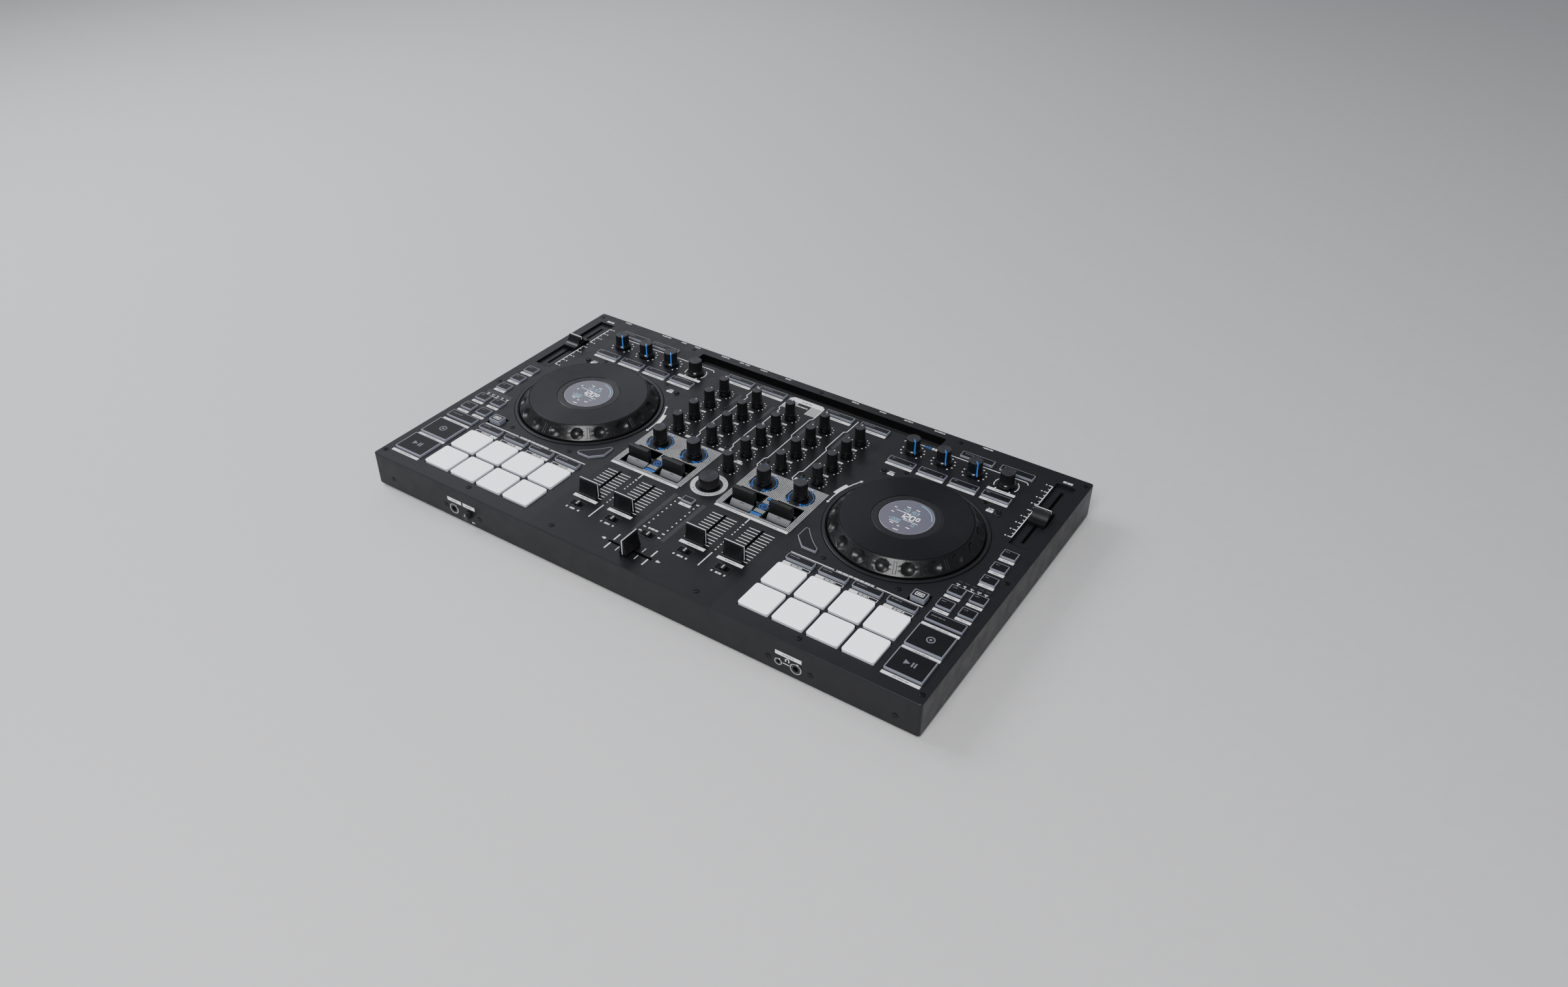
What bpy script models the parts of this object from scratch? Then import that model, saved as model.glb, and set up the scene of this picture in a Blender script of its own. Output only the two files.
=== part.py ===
"""A four-channel DJ controller: a mixer between two decks in one low steel case.

Lengths are in metres and +Z is up. The origin is under the middle of the unit, on
the surface that its feet stand on. X runs to the right as the player sees it, and
Y runs away from the player.
"""
import math

import bmesh
import bpy
from mathutils import Vector

# ---- Case ------------------------------------------------------------------
BODY_WIDTH = 0.712
BODY_DEPTH = 0.408
FOOT_HEIGHT = 0.004
FOOT_RADIUS = 0.011
FOOT_TAPER = 0.001
FOOT_INSET = 0.045
CASE_HEIGHT = 0.0395
CASE_WALL = 0.0015
CASE_CORNER = 0.0030
PLATE_CHAMFER = 0.0004
BOSS_RADIUS = 0.0035
BOSS_INSET = 0.0220
PLATE_THICKNESS = 0.0015
SEAT_GAP = 0.0003
RUN_GAP = 0.0005
PROUD = 0.006
FOOT_SIDES = 16
HOLE_SIDES = 8                      # small round holes, keys and bosses
SMOOTH_ANGLE = 30

# ---- Board and button mat ---------------------------------------------------
BOARD_DEPTH_BELOW_PLATE = 0.020
BOARD_THICKNESS = 0.0016
BOARD_MARGIN = 0.006
POT_SIZE = 0.0098
POT_HEIGHT = 0.0070
FADER_BODY_GROW = 0.0035
PADDLE_SWITCH = (0.0200, 0.0140, 0.0050)
TACT_SWITCH = 0.0060
TACT_SWITCH_HEIGHT = 0.0035
MAT_THICKNESS = 0.0012
KEY_HEIGHT = 0.0022
KEY_GAP = 0.0005
MAT_HEM = 0.0030
MAT_INNER_X = 0.1280
MAT_FRONT = 0.0140

# ---- Jog wheels -------------------------------------------------------------
JOG_X = 0.2195
JOG_Y = 0.219
JOG_RADIUS = 0.0845
JOG_RIM_WIDTH = 0.0125
JOG_HEIGHT = 0.0153
JOG_SKIRT = 0.003
JOG_SHOULDER = 0.0025
HUB_RADIUS = 0.0301
HUB_RECESS = 0.0006
JOG_EDGE = 0.0012
JOG_SIDES = 48
JOG_HOLE_GAP = 0.0008

# ---- Deck keys --------------------------------------------------------------
DECK_X = 0.2167
PAD_SIZE = 0.0353
PAD_GAP = 0.0043
PAD_FRONT = 0.0199
PAD_HEIGHT = 0.0030
PAD_ROWS = 2
PAD_COLUMNS = 4
MODE_KEY_NARROWER = 0.0023
MODE_KEY = (PAD_SIZE - MODE_KEY_NARROWER, 0.0095)
MODE_KEY_Y = 0.1085
FX_KEY_NARROWER = 0.0018
FX_KEY = (PAD_SIZE - FX_KEY_NARROWER, 0.0100)
FX_KEY_Y = 0.3230
REAR_KEY = (0.0410, 0.0105)
REAR_KEY_Y = 0.3780
REAR_KEY_X = (0.2265, 0.2760)
COLUMN_INSET = 0.0325
COLUMN_PITCH = 0.0244
LOOP_KEY = (0.0170, 0.0130)
LOOP_KEY_Y = (0.1323, 0.1567)
TRACK_KEY_Y = (0.1889, 0.2133, 0.2376)
TRACK_KEY_SHIFT = 0.0080
SYNC_KEY = (0.0410, 0.0130)
SYNC_KEY_Y = 0.1094
SHIFT_KEY = (0.0163, 0.0122)
SHIFT_KEY_POS = (0.2847, 0.1280)
SHIFT_KEY_HEIGHT = 0.0045
SHIFT_WELL_MARGIN = (0.0020, 0.0026)
ROUND_KEY_RADIUS = 0.0035
ROUND_KEY_X = (0.1476, 0.2901)
ROUND_KEY_Y = 0.2985
SELECT_KEY_SPAN = (0.1318, 0.1620)
SELECT_KEY_FRONT = 0.1290
SELECT_KEY_REAR = 0.1590
SELECT_KEY_CUT = 0.0130
SELECT_KEY_STAND_OFF = 0.0180

# ---- Play and cue buttons ---------------------------------------------------
PLAY_SIZE = (0.0410, 0.0330)
PLAY_Y = 0.0386
CUE_Y = 0.0777
PLAY_HEIGHT = 0.0025
PLAY_TRAVEL = 0.0012
PLAY_STEM = 0.006
PLAY_FLANGE = 0.0008

# ---- Rotary knobs -----------------------------------------------------------
KNOB_SIDES = 12
SHAFT_RADIUS = 0.0030
SHAFT_HOLE_GAP = 0.0006
KNOB_LIFT = 0.0008
EQ_RADIUS = (0.0076, 0.0061)
EQ_HEIGHT = 0.0230
EQ_ROWS_Y = (0.3304, 0.2991, 0.2678, 0.2365)
FILTER_RADIUS = (0.0095, 0.0080)
FILTER_HEIGHT = 0.0215
FILTER_Y = 0.2020
FX_RADIUS = (0.0105, 0.0082)
FX_HEIGHT = 0.0190
FX_KNOB_X = 0.2158
FX_KNOB_Y = 0.3507
BROWSE_RADIUS = (0.0122, 0.0118)
BROWSE_HEIGHT = 0.0130
BROWSE_Y = 0.1650

# ---- Mixer ------------------------------------------------------------------
CHANNEL_PITCH = 0.04846
CHANNELS = 4
LOAD_KEY = (0.0380, 0.0090)
LOAD_KEY_Y = 0.3665
PADDLE_SIZE = 0.0290
PADDLE_OPENING = (0.0330, 0.0350)
PADDLE_OPENING_Y = 0.1660
PADDLE_PIVOT_Y = 0.1650
PADDLE_PIVOT_DROP = 0.0090
PADDLE_HUB_RADIUS = 0.0098
PADDLE_HUB_CUT = 0.0030
PADDLE_FIN = (-0.0045, 0.0024)
PADDLE_HEIGHT = 0.0148
PADDLE_FIN_CHAMFER = 0.0014

# ---- Faders -----------------------------------------------------------------
FADER_STEM = (0.0010, 0.0060)
FADER_SLOT_GAP = 0.0005
FADER_TRAVEL = 0.0500
FADER_LOW_Y = 0.0765
FADER_CAP = (0.0243, 0.0100, 0.0200)
CROSS_TRAVEL = 0.0496
CROSS_Y = 0.0260
TEMPO_TRAVEL = 0.1000
TEMPO_MIDDLE_Y = 0.3224
TEMPO_REST = (0.0010, -0.0050)
TEMPO_CAP = (0.0195, 0.0280, 0.0128)
TEMPO_INSET = 0.0241
TEMPO_END_ROOM = 0.0010
TEMPO_WELL = (0.0220, TEMPO_TRAVEL + TEMPO_CAP[1] + 2 * TEMPO_END_ROOM, 0.0030)
CAP_LIFT = 0.0010
CAP_HEEL = 0.0020
CAP_CREST = 0.35

# ---- Tablet slot ------------------------------------------------------------
TABLET_SLOT = (0.3546, 0.0195, 0.0098)
TABLET_SLOT_Y = 0.38575
WELL_WALL = 0.0012

# ---- Sockets ----------------------------------------------------------------
SOCKET_DROP = 0.0280
JACK_RADIUS = (0.0052, 0.0032)
MINI_JACK_RADIUS = (0.0032, 0.0018)
XLR_RADIUS = (0.0110, 0.0095)
PHONO_RADIUS = (0.0042, 0.0017)
SOCKET_BODY_DEPTH = 0.0180
SOCKET_BORE_DEPTH = 0.0140
SOCKET_LIP = 0.0005
SOCKET_BODY_WALL = 0.0010
SOCKET_SETBACK = 0.0010
SOCKET_SIDES = 12
SOCKET_HOLE_GAP = 0.0004
MIC_JACK_X = -0.2320
HEADPHONE_X = (0.2020, 0.2220)
CURVE_KNOB_X = -0.2100
CURVE_KNOB_RADIUS = (0.0050, 0.0045)
CURVE_SHAFT_RADIUS = 0.0020
CURVE_SHAFT_LENGTH = 0.0080
REAR_XLR_X = (0.0480, 0.0870, 0.1640, 0.2270)
REAR_JACK_X = (-0.2160, -0.1910)
REAR_PHONO_X = (-0.1480, -0.1220, -0.0880, -0.0510)
PHONO_ROW_GAP = 0.0140
PHONO_DROP = 0.0255
XLR_DROP = 0.0235

# ---- Derived levels ---------------------------------------------------------
FRONT = -BODY_DEPTH / 2
PLATE_BOTTOM = FOOT_HEIGHT + CASE_HEIGHT
PLATE_TOP = PLATE_BOTTOM + PLATE_THICKNESS
BOARD_TOP = PLATE_TOP - BOARD_DEPTH_BELOW_PLATE
BOARD_BOTTOM = BOARD_TOP - BOARD_THICKNESS
MAT_TOP = PLATE_BOTTOM - SEAT_GAP
PAD_PITCH = PAD_SIZE + PAD_GAP
COLUMN_X = BODY_WIDTH / 2 - COLUMN_INSET
TEMPO_X = BODY_WIDTH / 2 - TEMPO_INSET
JOG_HOLE_RADIUS = JOG_RADIUS + JOG_HOLE_GAP
ABOVE = 0.002                       # how far a cutter runs past a face


def circle(centre, radius, sides):
    """Points of a circle in the XY plane, a flat side facing the player."""
    turn = math.pi / sides
    return [(centre[0] + radius * math.sin(turn + 2 * turn * k),
             centre[1] - radius * math.cos(turn + 2 * turn * k)) for k in range(sides)]


def rectangle(centre, width, depth, corner=0.0, steps=3):
    """Points of a rectangle in the XY plane, with round corners if corner is set."""
    half_w, half_d = width / 2, depth / 2
    if corner == 0.0:
        return [(centre[0] + sx * half_w, centre[1] + sy * half_d)
                for sx, sy in ((-1, -1), (1, -1), (1, 1), (-1, 1))]
    points = []
    for quarter, (sx, sy) in enumerate(((-1, -1), (1, -1), (1, 1), (-1, 1))):
        for k in range(steps + 1):
            angle = math.pi + (quarter + k / steps) * math.pi / 2
            points.append((centre[0] + sx * (half_w - corner) + corner * math.cos(angle),
                           centre[1] + sy * (half_d - corner) + corner * math.sin(angle)))
    return points


def add_loft(shape, rings, closed=False):
    """Skin rings of points into one closed solid; closed joins the last ring to the first."""
    loops = [[shape.verts.new(point) for point in ring] for ring in rings]
    count = len(loops[0])
    pairs = list(zip(loops, loops[1:]))
    if closed:
        pairs.append((loops[-1], loops[0]))
    for low, high in pairs:
        for k in range(count):
            nxt = (k + 1) % count
            shape.faces.new((low[k], low[nxt], high[nxt], high[k]))
    if not closed:
        shape.faces.new(list(reversed(loops[0])))
        shape.faces.new(loops[-1])


def add_prism(shape, outline, low, high):
    """A vertical prism on an outline, between two levels."""
    add_loft(shape, [[(x, y, z) for x, y in outline] for z in (low, high)])


def add_box(shape, x_span, y_span, z_span):
    """A box given by its spans."""
    corners = ((0, 0), (1, 0), (1, 1), (0, 1))
    add_prism(shape, [(x_span[i], y_span[j]) for i, j in corners], *z_span)


def add_turned(shape, profile, centre, sides):
    """A solid turned about a vertical axis, from (radius, level) pairs, bottom to top."""
    add_loft(shape, [[(x, y, z) for x, y in circle(centre, radius, sides)]
                     for radius, z in profile])


def add_barrel(shape, x, z, radius, y_span, sides):
    """A round bar along Y."""
    add_loft(shape, [[(x + px, y, z + pz) for px, pz in circle((0, 0), radius, sides)]
                     for y in y_span])


def from_front(y):
    """A distance behind the front edge as a Y coordinate."""
    return FRONT + y


def finish_material(name, colour, roughness, metallic=0.0):
    """A plain Principled material in the piece's own colour."""
    material = bpy.data.materials.new(name)
    material.use_nodes = True
    shader = material.node_tree.nodes["Principled BSDF"]
    shader.inputs["Base Color"].default_value = (*colour, 1.0)
    shader.inputs["Roughness"].default_value = roughness
    shader.inputs["Metallic"].default_value = metallic
    material.diffuse_color = (*colour, 1.0)
    return material


FINISHES = {
    "case": ((0.035, 0.036, 0.040), 0.45, 0.3),
    "plate": ((0.060, 0.062, 0.070), 0.42, 0.4),
    "board": ((0.015, 0.090, 0.040), 0.50, 0.0),
    "mat": ((0.420, 0.430, 0.480), 0.55, 0.0),
    "rubber": ((0.020, 0.020, 0.020), 0.80, 0.0),
    "knob": ((0.030, 0.030, 0.032), 0.55, 0.0),
    "jog": ((0.050, 0.050, 0.055), 0.30, 0.0),
    "cap": ((0.025, 0.025, 0.027), 0.40, 0.0),
    "button": ((0.350, 0.360, 0.400), 0.40, 0.0),
}


def make_piece(name, shape, finish, origin=(0.0, 0.0, 0.0)):
    """Turn a built shape into a named object whose origin is at the given point."""
    bmesh.ops.recalc_face_normals(shape, faces=shape.faces)
    bmesh.ops.translate(shape, verts=shape.verts, vec=-Vector(origin))
    mesh = bpy.data.meshes.new(name)
    shape.to_mesh(mesh)
    shape.free()
    piece = bpy.data.objects.new(name, mesh)
    piece.location = origin
    bpy.context.scene.collection.objects.link(piece)
    if finish is not None:
        mesh.materials.append(finish_material(name + "_finish", *FINISHES[finish]))
        mesh.shade_smooth()
        mesh.set_sharp_from_angle(angle=math.radians(SMOOTH_ANGLE))
    return piece


def combine(piece, name, shape, operation):
    """Join a shape to a piece, or cut it out, with a Boolean modifier."""
    tool = make_piece(name, shape, None)
    tool.hide_render = True
    tool.display_type = "WIRE"
    modifier = piece.modifiers.new(name, "BOOLEAN")
    modifier.operation = operation
    modifier.solver = "EXACT"
    modifier.object = tool


# ---- Layout: where the controls stand ---------------------------------------
def pad_column_x(index):
    """Centre of one of the four pad columns of the right deck."""
    return DECK_X + (index - (PAD_COLUMNS - 1) / 2) * PAD_PITCH


def channel_x(index):
    """Centre of a mixer channel; the master column stands between channels 2 and 3."""
    return (index - CHANNELS // 2 + (1 if index >= CHANNELS // 2 else 0)) * CHANNEL_PITCH


def deck_keys():
    """The rectangular keys of the right deck: centre x, y, width, depth, height."""
    keys = []
    for column in range(PAD_COLUMNS):
        x = pad_column_x(column)
        for row in range(PAD_ROWS):
            y = PAD_FRONT + PAD_SIZE / 2 + row * PAD_PITCH
            keys.append((x, y, PAD_SIZE, PAD_SIZE, PAD_HEIGHT))
        keys.append((x, MODE_KEY_Y, *MODE_KEY, PAD_HEIGHT))
        keys.append((x, FX_KEY_Y, *FX_KEY, KEY_HEIGHT))
    keys += [(x, REAR_KEY_Y, *REAR_KEY, KEY_HEIGHT) for x in REAR_KEY_X]
    keys += [(COLUMN_X + side * COLUMN_PITCH / 2, y, *LOOP_KEY, KEY_HEIGHT)
             for side in (-1, 1) for y in LOOP_KEY_Y]
    keys += [(COLUMN_X + TRACK_KEY_SHIFT, y, *LOOP_KEY, KEY_HEIGHT) for y in TRACK_KEY_Y]
    keys.append((COLUMN_X, SYNC_KEY_Y, *SYNC_KEY, KEY_HEIGHT))
    return keys


def shift_key_outline(opening):
    """The tall shift key, or the wider opening that it stands in."""
    margin_x, margin_y = SHIFT_WELL_MARGIN if opening else (0.0, 0.0)
    x, y = SHIFT_KEY_POS
    return rectangle((x, y), SHIFT_KEY[0] + 2 * margin_x, SHIFT_KEY[1] + 2 * margin_y)


def select_key_outline(grow):
    """The deck-select key: a wedge whose long side follows the jog wheel."""
    arc = JOG_RADIUS + SELECT_KEY_STAND_OFF - grow
    left = SELECT_KEY_SPAN[0] - grow
    right = SELECT_KEY_SPAN[1] + grow
    front = SELECT_KEY_FRONT - grow
    rear = SELECT_KEY_REAR + grow
    start = math.atan2(rear - JOG_Y, -math.sqrt(arc ** 2 - (rear - JOG_Y) ** 2))
    stop = math.atan2(-math.sqrt(arc ** 2 - (right - JOG_X) ** 2), right - JOG_X)
    steps = 5
    curve = []
    for k in range(steps + 1):
        angle = start + (stop - start) * k / steps
        curve.append((JOG_X + arc * math.cos(angle), JOG_Y + arc * math.sin(angle)))
    return [(left, rear), (left, front + SELECT_KEY_CUT), (left + SELECT_KEY_CUT, front),
            (right, front)] + curve[::-1]


def round_keys():
    """Centres of the small round keys beside the right jog wheel."""
    return [(x, ROUND_KEY_Y) for x in ROUND_KEY_X]


def load_keys():
    """The four long keys behind the mixer's channel strips."""
    return [(channel_x(index), LOAD_KEY_Y, *LOAD_KEY, KEY_HEIGHT) for index in range(CHANNELS)]


def mirrored(outline, side):
    """An outline in plate coordinates, placed on the left (-1) or right (1) deck."""
    return [(side * x, from_front(y)) for x, y in outline]


def key_outlines(grow):
    """Every key of the button mat: outline and height above the plate."""
    outlines = []
    for side in (-1, 1):
        for x, y, width, depth, height in deck_keys():
            outline = rectangle((x, y), width + 2 * grow, depth + 2 * grow)
            outlines.append((mirrored(outline, side), height))
        for centre in round_keys():
            outline = circle(centre, ROUND_KEY_RADIUS + grow, HOLE_SIDES)
            outlines.append((mirrored(outline, side), KEY_HEIGHT))
        outlines.append((mirrored(select_key_outline(grow), side), KEY_HEIGHT))
        outlines.append((mirrored(shift_key_outline(grow > 0.0), side), SHIFT_KEY_HEIGHT))
    for x, y, width, depth, height in load_keys():
        outline = rectangle((x, y), width + 2 * grow, depth + 2 * grow)
        outlines.append((mirrored(outline, 1), height))
    return outlines


def knob_table():
    """Every rotary knob on the plate: name, x, y, radii and height."""
    knobs = []
    bands = ("gain", "high", "mid", "low")
    for band, y in zip(bands, EQ_ROWS_Y):
        for index in range(CHANNELS):
            knobs.append((f"knob_{band}_{index + 1}", channel_x(index), y, EQ_RADIUS, EQ_HEIGHT))
    for index in range(CHANNELS):
        knobs.append((f"knob_filter_{index + 1}", channel_x(index), FILTER_Y,
                      FILTER_RADIUS, FILTER_HEIGHT))
    masters = ("master", "booth", "cue_mix", "phones")
    for name, y in zip(masters, EQ_ROWS_Y):
        knobs.append((f"knob_{name}", 0.0, y, EQ_RADIUS, EQ_HEIGHT))
    knobs.append(("knob_sampler", 0.0, FILTER_Y, EQ_RADIUS, EQ_HEIGHT))
    for side, deck in ((-1, "left"), (1, "right")):
        for index in range(PAD_COLUMNS):
            x = side * FX_KNOB_X + (index - (PAD_COLUMNS - 1) / 2) * PAD_PITCH
            knobs.append((f"knob_fx_{deck}_{index + 1}", x, FX_KNOB_Y, FX_RADIUS, FX_HEIGHT))
    knobs.append(("browse_encoder", 0.0, BROWSE_Y, BROWSE_RADIUS, BROWSE_HEIGHT))
    return knobs


def play_buttons():
    """The sprung transport buttons: name, x and y."""
    return [(f"{name}_button_{deck}", side * COLUMN_X, y)
            for side, deck in ((-1, "left"), (1, "right"))
            for name, y in (("play", PLAY_Y), ("cue", CUE_Y))]


def fader_table():
    """Every fader: name, rest place, travel along its slot, direction and slot centre."""
    faders = []
    for index in range(CHANNELS):
        x = channel_x(index)
        faders.append((f"channel_fader_{index + 1}", (x, FADER_LOW_Y), "Y", FADER_TRAVEL,
                       (x, FADER_LOW_Y + FADER_TRAVEL / 2)))
    faders.append(("crossfader", (0.0, CROSS_Y), "X", CROSS_TRAVEL, (0.0, CROSS_Y)))
    for side, deck, offset in ((-1, "left", TEMPO_REST[0]), (1, "right", TEMPO_REST[1])):
        x = side * TEMPO_X
        faders.append((f"tempo_fader_{deck}", (x, TEMPO_MIDDLE_Y + offset), "Y", TEMPO_TRAVEL,
                       (x, TEMPO_MIDDLE_Y)))
    return faders


def slot_size(direction, travel, extra):
    """Width and depth of the gap that a fader's stem needs to run its travel."""
    long_side = travel + FADER_STEM[1] + 2 * extra
    short_side = FADER_STEM[0] + 2 * extra
    return (long_side, short_side) if direction == "X" else (short_side, long_side)


def front_sockets():
    """Front sockets: x, drop below the plate, outer radius, bore radius, proud length."""
    return [(MIC_JACK_X, SOCKET_DROP, *JACK_RADIUS, SOCKET_LIP),
            (HEADPHONE_X[0], SOCKET_DROP, *MINI_JACK_RADIUS, SOCKET_LIP),
            (HEADPHONE_X[1], SOCKET_DROP, *JACK_RADIUS, SOCKET_LIP)]


def rear_sockets():
    """Rear sockets, in the same form as the front ones."""
    sockets = [(x, XLR_DROP, *XLR_RADIUS, SOCKET_LIP) for x in REAR_XLR_X]
    sockets += [(x, XLR_DROP, *JACK_RADIUS, SOCKET_LIP) for x in REAR_JACK_X]
    sockets += [(x, PHONO_DROP + row * PHONO_ROW_GAP / 2, *PHONO_RADIUS, PROUD)
                for x in REAR_PHONO_X for row in (-1, 1)]
    return sockets


# ---- Fixed pieces -----------------------------------------------------------
def make_bottom_case():
    """The steel tray: floor, four walls, bosses for the board and holes for the sockets."""
    shape = bmesh.new()
    outer = rectangle((0, 0), BODY_WIDTH, BODY_DEPTH, CASE_CORNER)
    rim = PLATE_BOTTOM - SEAT_GAP
    add_prism(shape, outer, FOOT_HEIGHT, rim)
    case = make_piece("bottom_case", shape, "case")

    inside = bmesh.new()
    inner = rectangle((0, 0), BODY_WIDTH - 2 * CASE_WALL, BODY_DEPTH - 2 * CASE_WALL)
    floor = FOOT_HEIGHT + CASE_WALL
    add_prism(inside, inner, floor, rim + ABOVE)
    combine(case, "case_inside", inside, "DIFFERENCE")

    bosses = bmesh.new()
    reach_x = BODY_WIDTH / 2 - BOSS_INSET
    reach_y = BODY_DEPTH / 2 - BOSS_INSET
    for x in (-reach_x, 0.0, reach_x):
        for y in (-reach_y, reach_y):
            outline = circle((x, y), BOSS_RADIUS, HOLE_SIDES)
            add_prism(bosses, outline, FOOT_HEIGHT + CASE_WALL / 2, BOARD_BOTTOM - SEAT_GAP)
    combine(case, "case_bosses", bosses, "UNION")

    holes = bmesh.new()
    for sockets, face in ((front_sockets(), FRONT), (rear_sockets(), -FRONT)):
        for x, drop, outer_radius, _, _ in sockets:
            radius = outer_radius + SOCKET_HOLE_GAP
            span = (face - CASE_WALL - ABOVE, face + CASE_WALL + ABOVE)
            add_barrel(holes, x, PLATE_TOP - drop, radius, span, SOCKET_SIDES)
    span = (FRONT - ABOVE, FRONT + CASE_WALL + ABOVE)
    radius = CURVE_SHAFT_RADIUS + SOCKET_HOLE_GAP
    add_barrel(holes, CURVE_KNOB_X, PLATE_TOP - SOCKET_DROP, radius, span, SOCKET_SIDES)
    combine(case, "case_socket_holes", holes, "DIFFERENCE")


def make_top_plate():
    """The top plate with its tablet slot, tempo wells and an opening for every control."""
    shape = bmesh.new()
    outer = rectangle((0, 0), BODY_WIDTH, BODY_DEPTH, CASE_CORNER)
    inner = rectangle((0, 0), BODY_WIDTH - 2 * PLATE_CHAMFER, BODY_DEPTH - 2 * PLATE_CHAMFER,
                      CASE_CORNER - PLATE_CHAMFER)
    add_loft(shape, [[(x, y, PLATE_BOTTOM) for x, y in outer],
                     [(x, y, PLATE_TOP - PLATE_CHAMFER) for x, y in outer],
                     [(x, y, PLATE_TOP) for x, y in inner]])
    plate = make_piece("top_plate", shape, "plate")

    wells = bmesh.new()
    pockets = bmesh.new()
    well_places = [((0.0, from_front(TABLET_SLOT_Y)), TABLET_SLOT)]
    for side in (-1, 1):
        well_places.append(((side * TEMPO_X, from_front(TEMPO_MIDDLE_Y)), TEMPO_WELL))
    for centre, (width, depth, drop) in well_places:
        outside = rectangle(centre, width + 2 * WELL_WALL, depth + 2 * WELL_WALL)
        add_prism(wells, outside, PLATE_TOP - drop - WELL_WALL, PLATE_TOP - PLATE_THICKNESS / 2)
        add_prism(pockets, rectangle(centre, width, depth), PLATE_TOP - drop, PLATE_TOP + ABOVE)
    combine(plate, "plate_wells", wells, "UNION")

    below = PLATE_BOTTOM - ABOVE
    above = PLATE_TOP + ABOVE
    for side in (-1, 1):
        opening = circle((side * JOG_X, from_front(JOG_Y)), JOG_HOLE_RADIUS, JOG_SIDES)
        add_prism(pockets, opening, below, above)
    for outline, _ in key_outlines(KEY_GAP):
        add_prism(pockets, outline, below, above)
    for _, x, y in play_buttons():
        width, depth = (size + 2 * KEY_GAP for size in PLAY_SIZE)
        add_prism(pockets, rectangle((x, from_front(y)), width, depth), below, above)
    for _, x, y, _, _ in knob_table():
        opening = circle((x, from_front(y)), SHAFT_RADIUS + SHAFT_HOLE_GAP, HOLE_SIDES)
        add_prism(pockets, opening, below, above)
    for index in range(CHANNELS):
        centre = (channel_x(index), from_front(PADDLE_OPENING_Y))
        add_prism(pockets, rectangle(centre, *PADDLE_OPENING), below, above)
    combine(plate, "plate_pockets", pockets, "DIFFERENCE")

    slots = bmesh.new()
    for _, _, direction, travel, (x, y) in fader_table():
        outline = rectangle((x, from_front(y)), *slot_size(direction, travel, FADER_SLOT_GAP))
        add_prism(slots, outline, PLATE_TOP - TEMPO_WELL[2] - WELL_WALL - ABOVE, above)
    combine(plate, "plate_fader_slots", slots, "DIFFERENCE")


def make_main_board():
    """The circuit board with its pots, faders, sockets and the two display posts."""
    shape = bmesh.new()
    width = BODY_WIDTH - 2 * (CASE_WALL + BOARD_MARGIN)
    depth = BODY_DEPTH - 2 * (CASE_WALL + BOARD_MARGIN)
    add_prism(shape, rectangle((0, 0), width, depth), BOARD_BOTTOM, BOARD_TOP)
    board = make_piece("main_board", shape, "board")

    middle = (BOARD_BOTTOM + BOARD_TOP) / 2
    fittings = bmesh.new()
    for side in (-1, 1):
        post = circle((side * JOG_X, from_front(JOG_Y)), HUB_RADIUS, JOG_SIDES // 2)
        add_prism(fittings, post, middle, PLATE_TOP + JOG_HEIGHT - HUB_RECESS)
    for _, x, y, _, _ in knob_table():
        outline = rectangle((x, from_front(y)), POT_SIZE, POT_SIZE)
        add_prism(fittings, outline, middle, BOARD_TOP + POT_HEIGHT)
    for _, _, direction, travel, (x, y) in fader_table():
        outline = rectangle((x, from_front(y)), *slot_size(direction, travel, FADER_BODY_GROW))
        add_prism(fittings, outline, middle, BOARD_TOP + POT_HEIGHT)
    for index in range(CHANNELS):
        outline = rectangle((channel_x(index), from_front(PADDLE_PIVOT_Y)), *PADDLE_SWITCH[:2])
        add_prism(fittings, outline, middle, BOARD_TOP + PADDLE_SWITCH[2])
    for _, x, y in play_buttons():
        outline = rectangle((x, from_front(y)), TACT_SWITCH, TACT_SWITCH)
        add_prism(fittings, outline, middle, BOARD_TOP + TACT_SWITCH_HEIGHT)
    combine(board, "board_fittings", fittings, "UNION")

    bodies = bmesh.new()
    barrels = bmesh.new()
    bores = bmesh.new()
    for sockets, face, outward in ((front_sockets(), FRONT, -1), (rear_sockets(), -FRONT, 1)):
        near = face - outward * (CASE_WALL + SOCKET_SETBACK)
        far = near - outward * SOCKET_BODY_DEPTH
        body_y = tuple(sorted((near, far)))
        for x in sorted({socket[0] for socket in sockets}):
            column = [socket for socket in sockets if socket[0] == x]
            reach = column[0][2] + SOCKET_BODY_WALL
            low = min(PLATE_TOP - drop - reach for _, drop, _, _, _ in column)
            high = max([PLATE_TOP - drop + reach for _, drop, _, _, _ in column] + [middle])
            add_box(bodies, (x - reach, x + reach), body_y, (low, high))
        for x, drop, outer_radius, bore_radius, proud in sockets:
            z = PLATE_TOP - drop
            tip = face + outward * proud
            root = near - outward * SOCKET_SETBACK
            add_barrel(barrels, x, z, outer_radius, tuple(sorted((tip, root))), SOCKET_SIDES)
            bore = (tip + outward * ABOVE, tip - outward * SOCKET_BORE_DEPTH)
            add_barrel(bores, x, z, bore_radius, tuple(sorted(bore)), SOCKET_SIDES)
    combine(board, "board_socket_bodies", bodies, "UNION")
    combine(board, "board_socket_barrels", barrels, "UNION")
    combine(board, "board_socket_bores", bores, "DIFFERENCE")


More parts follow.
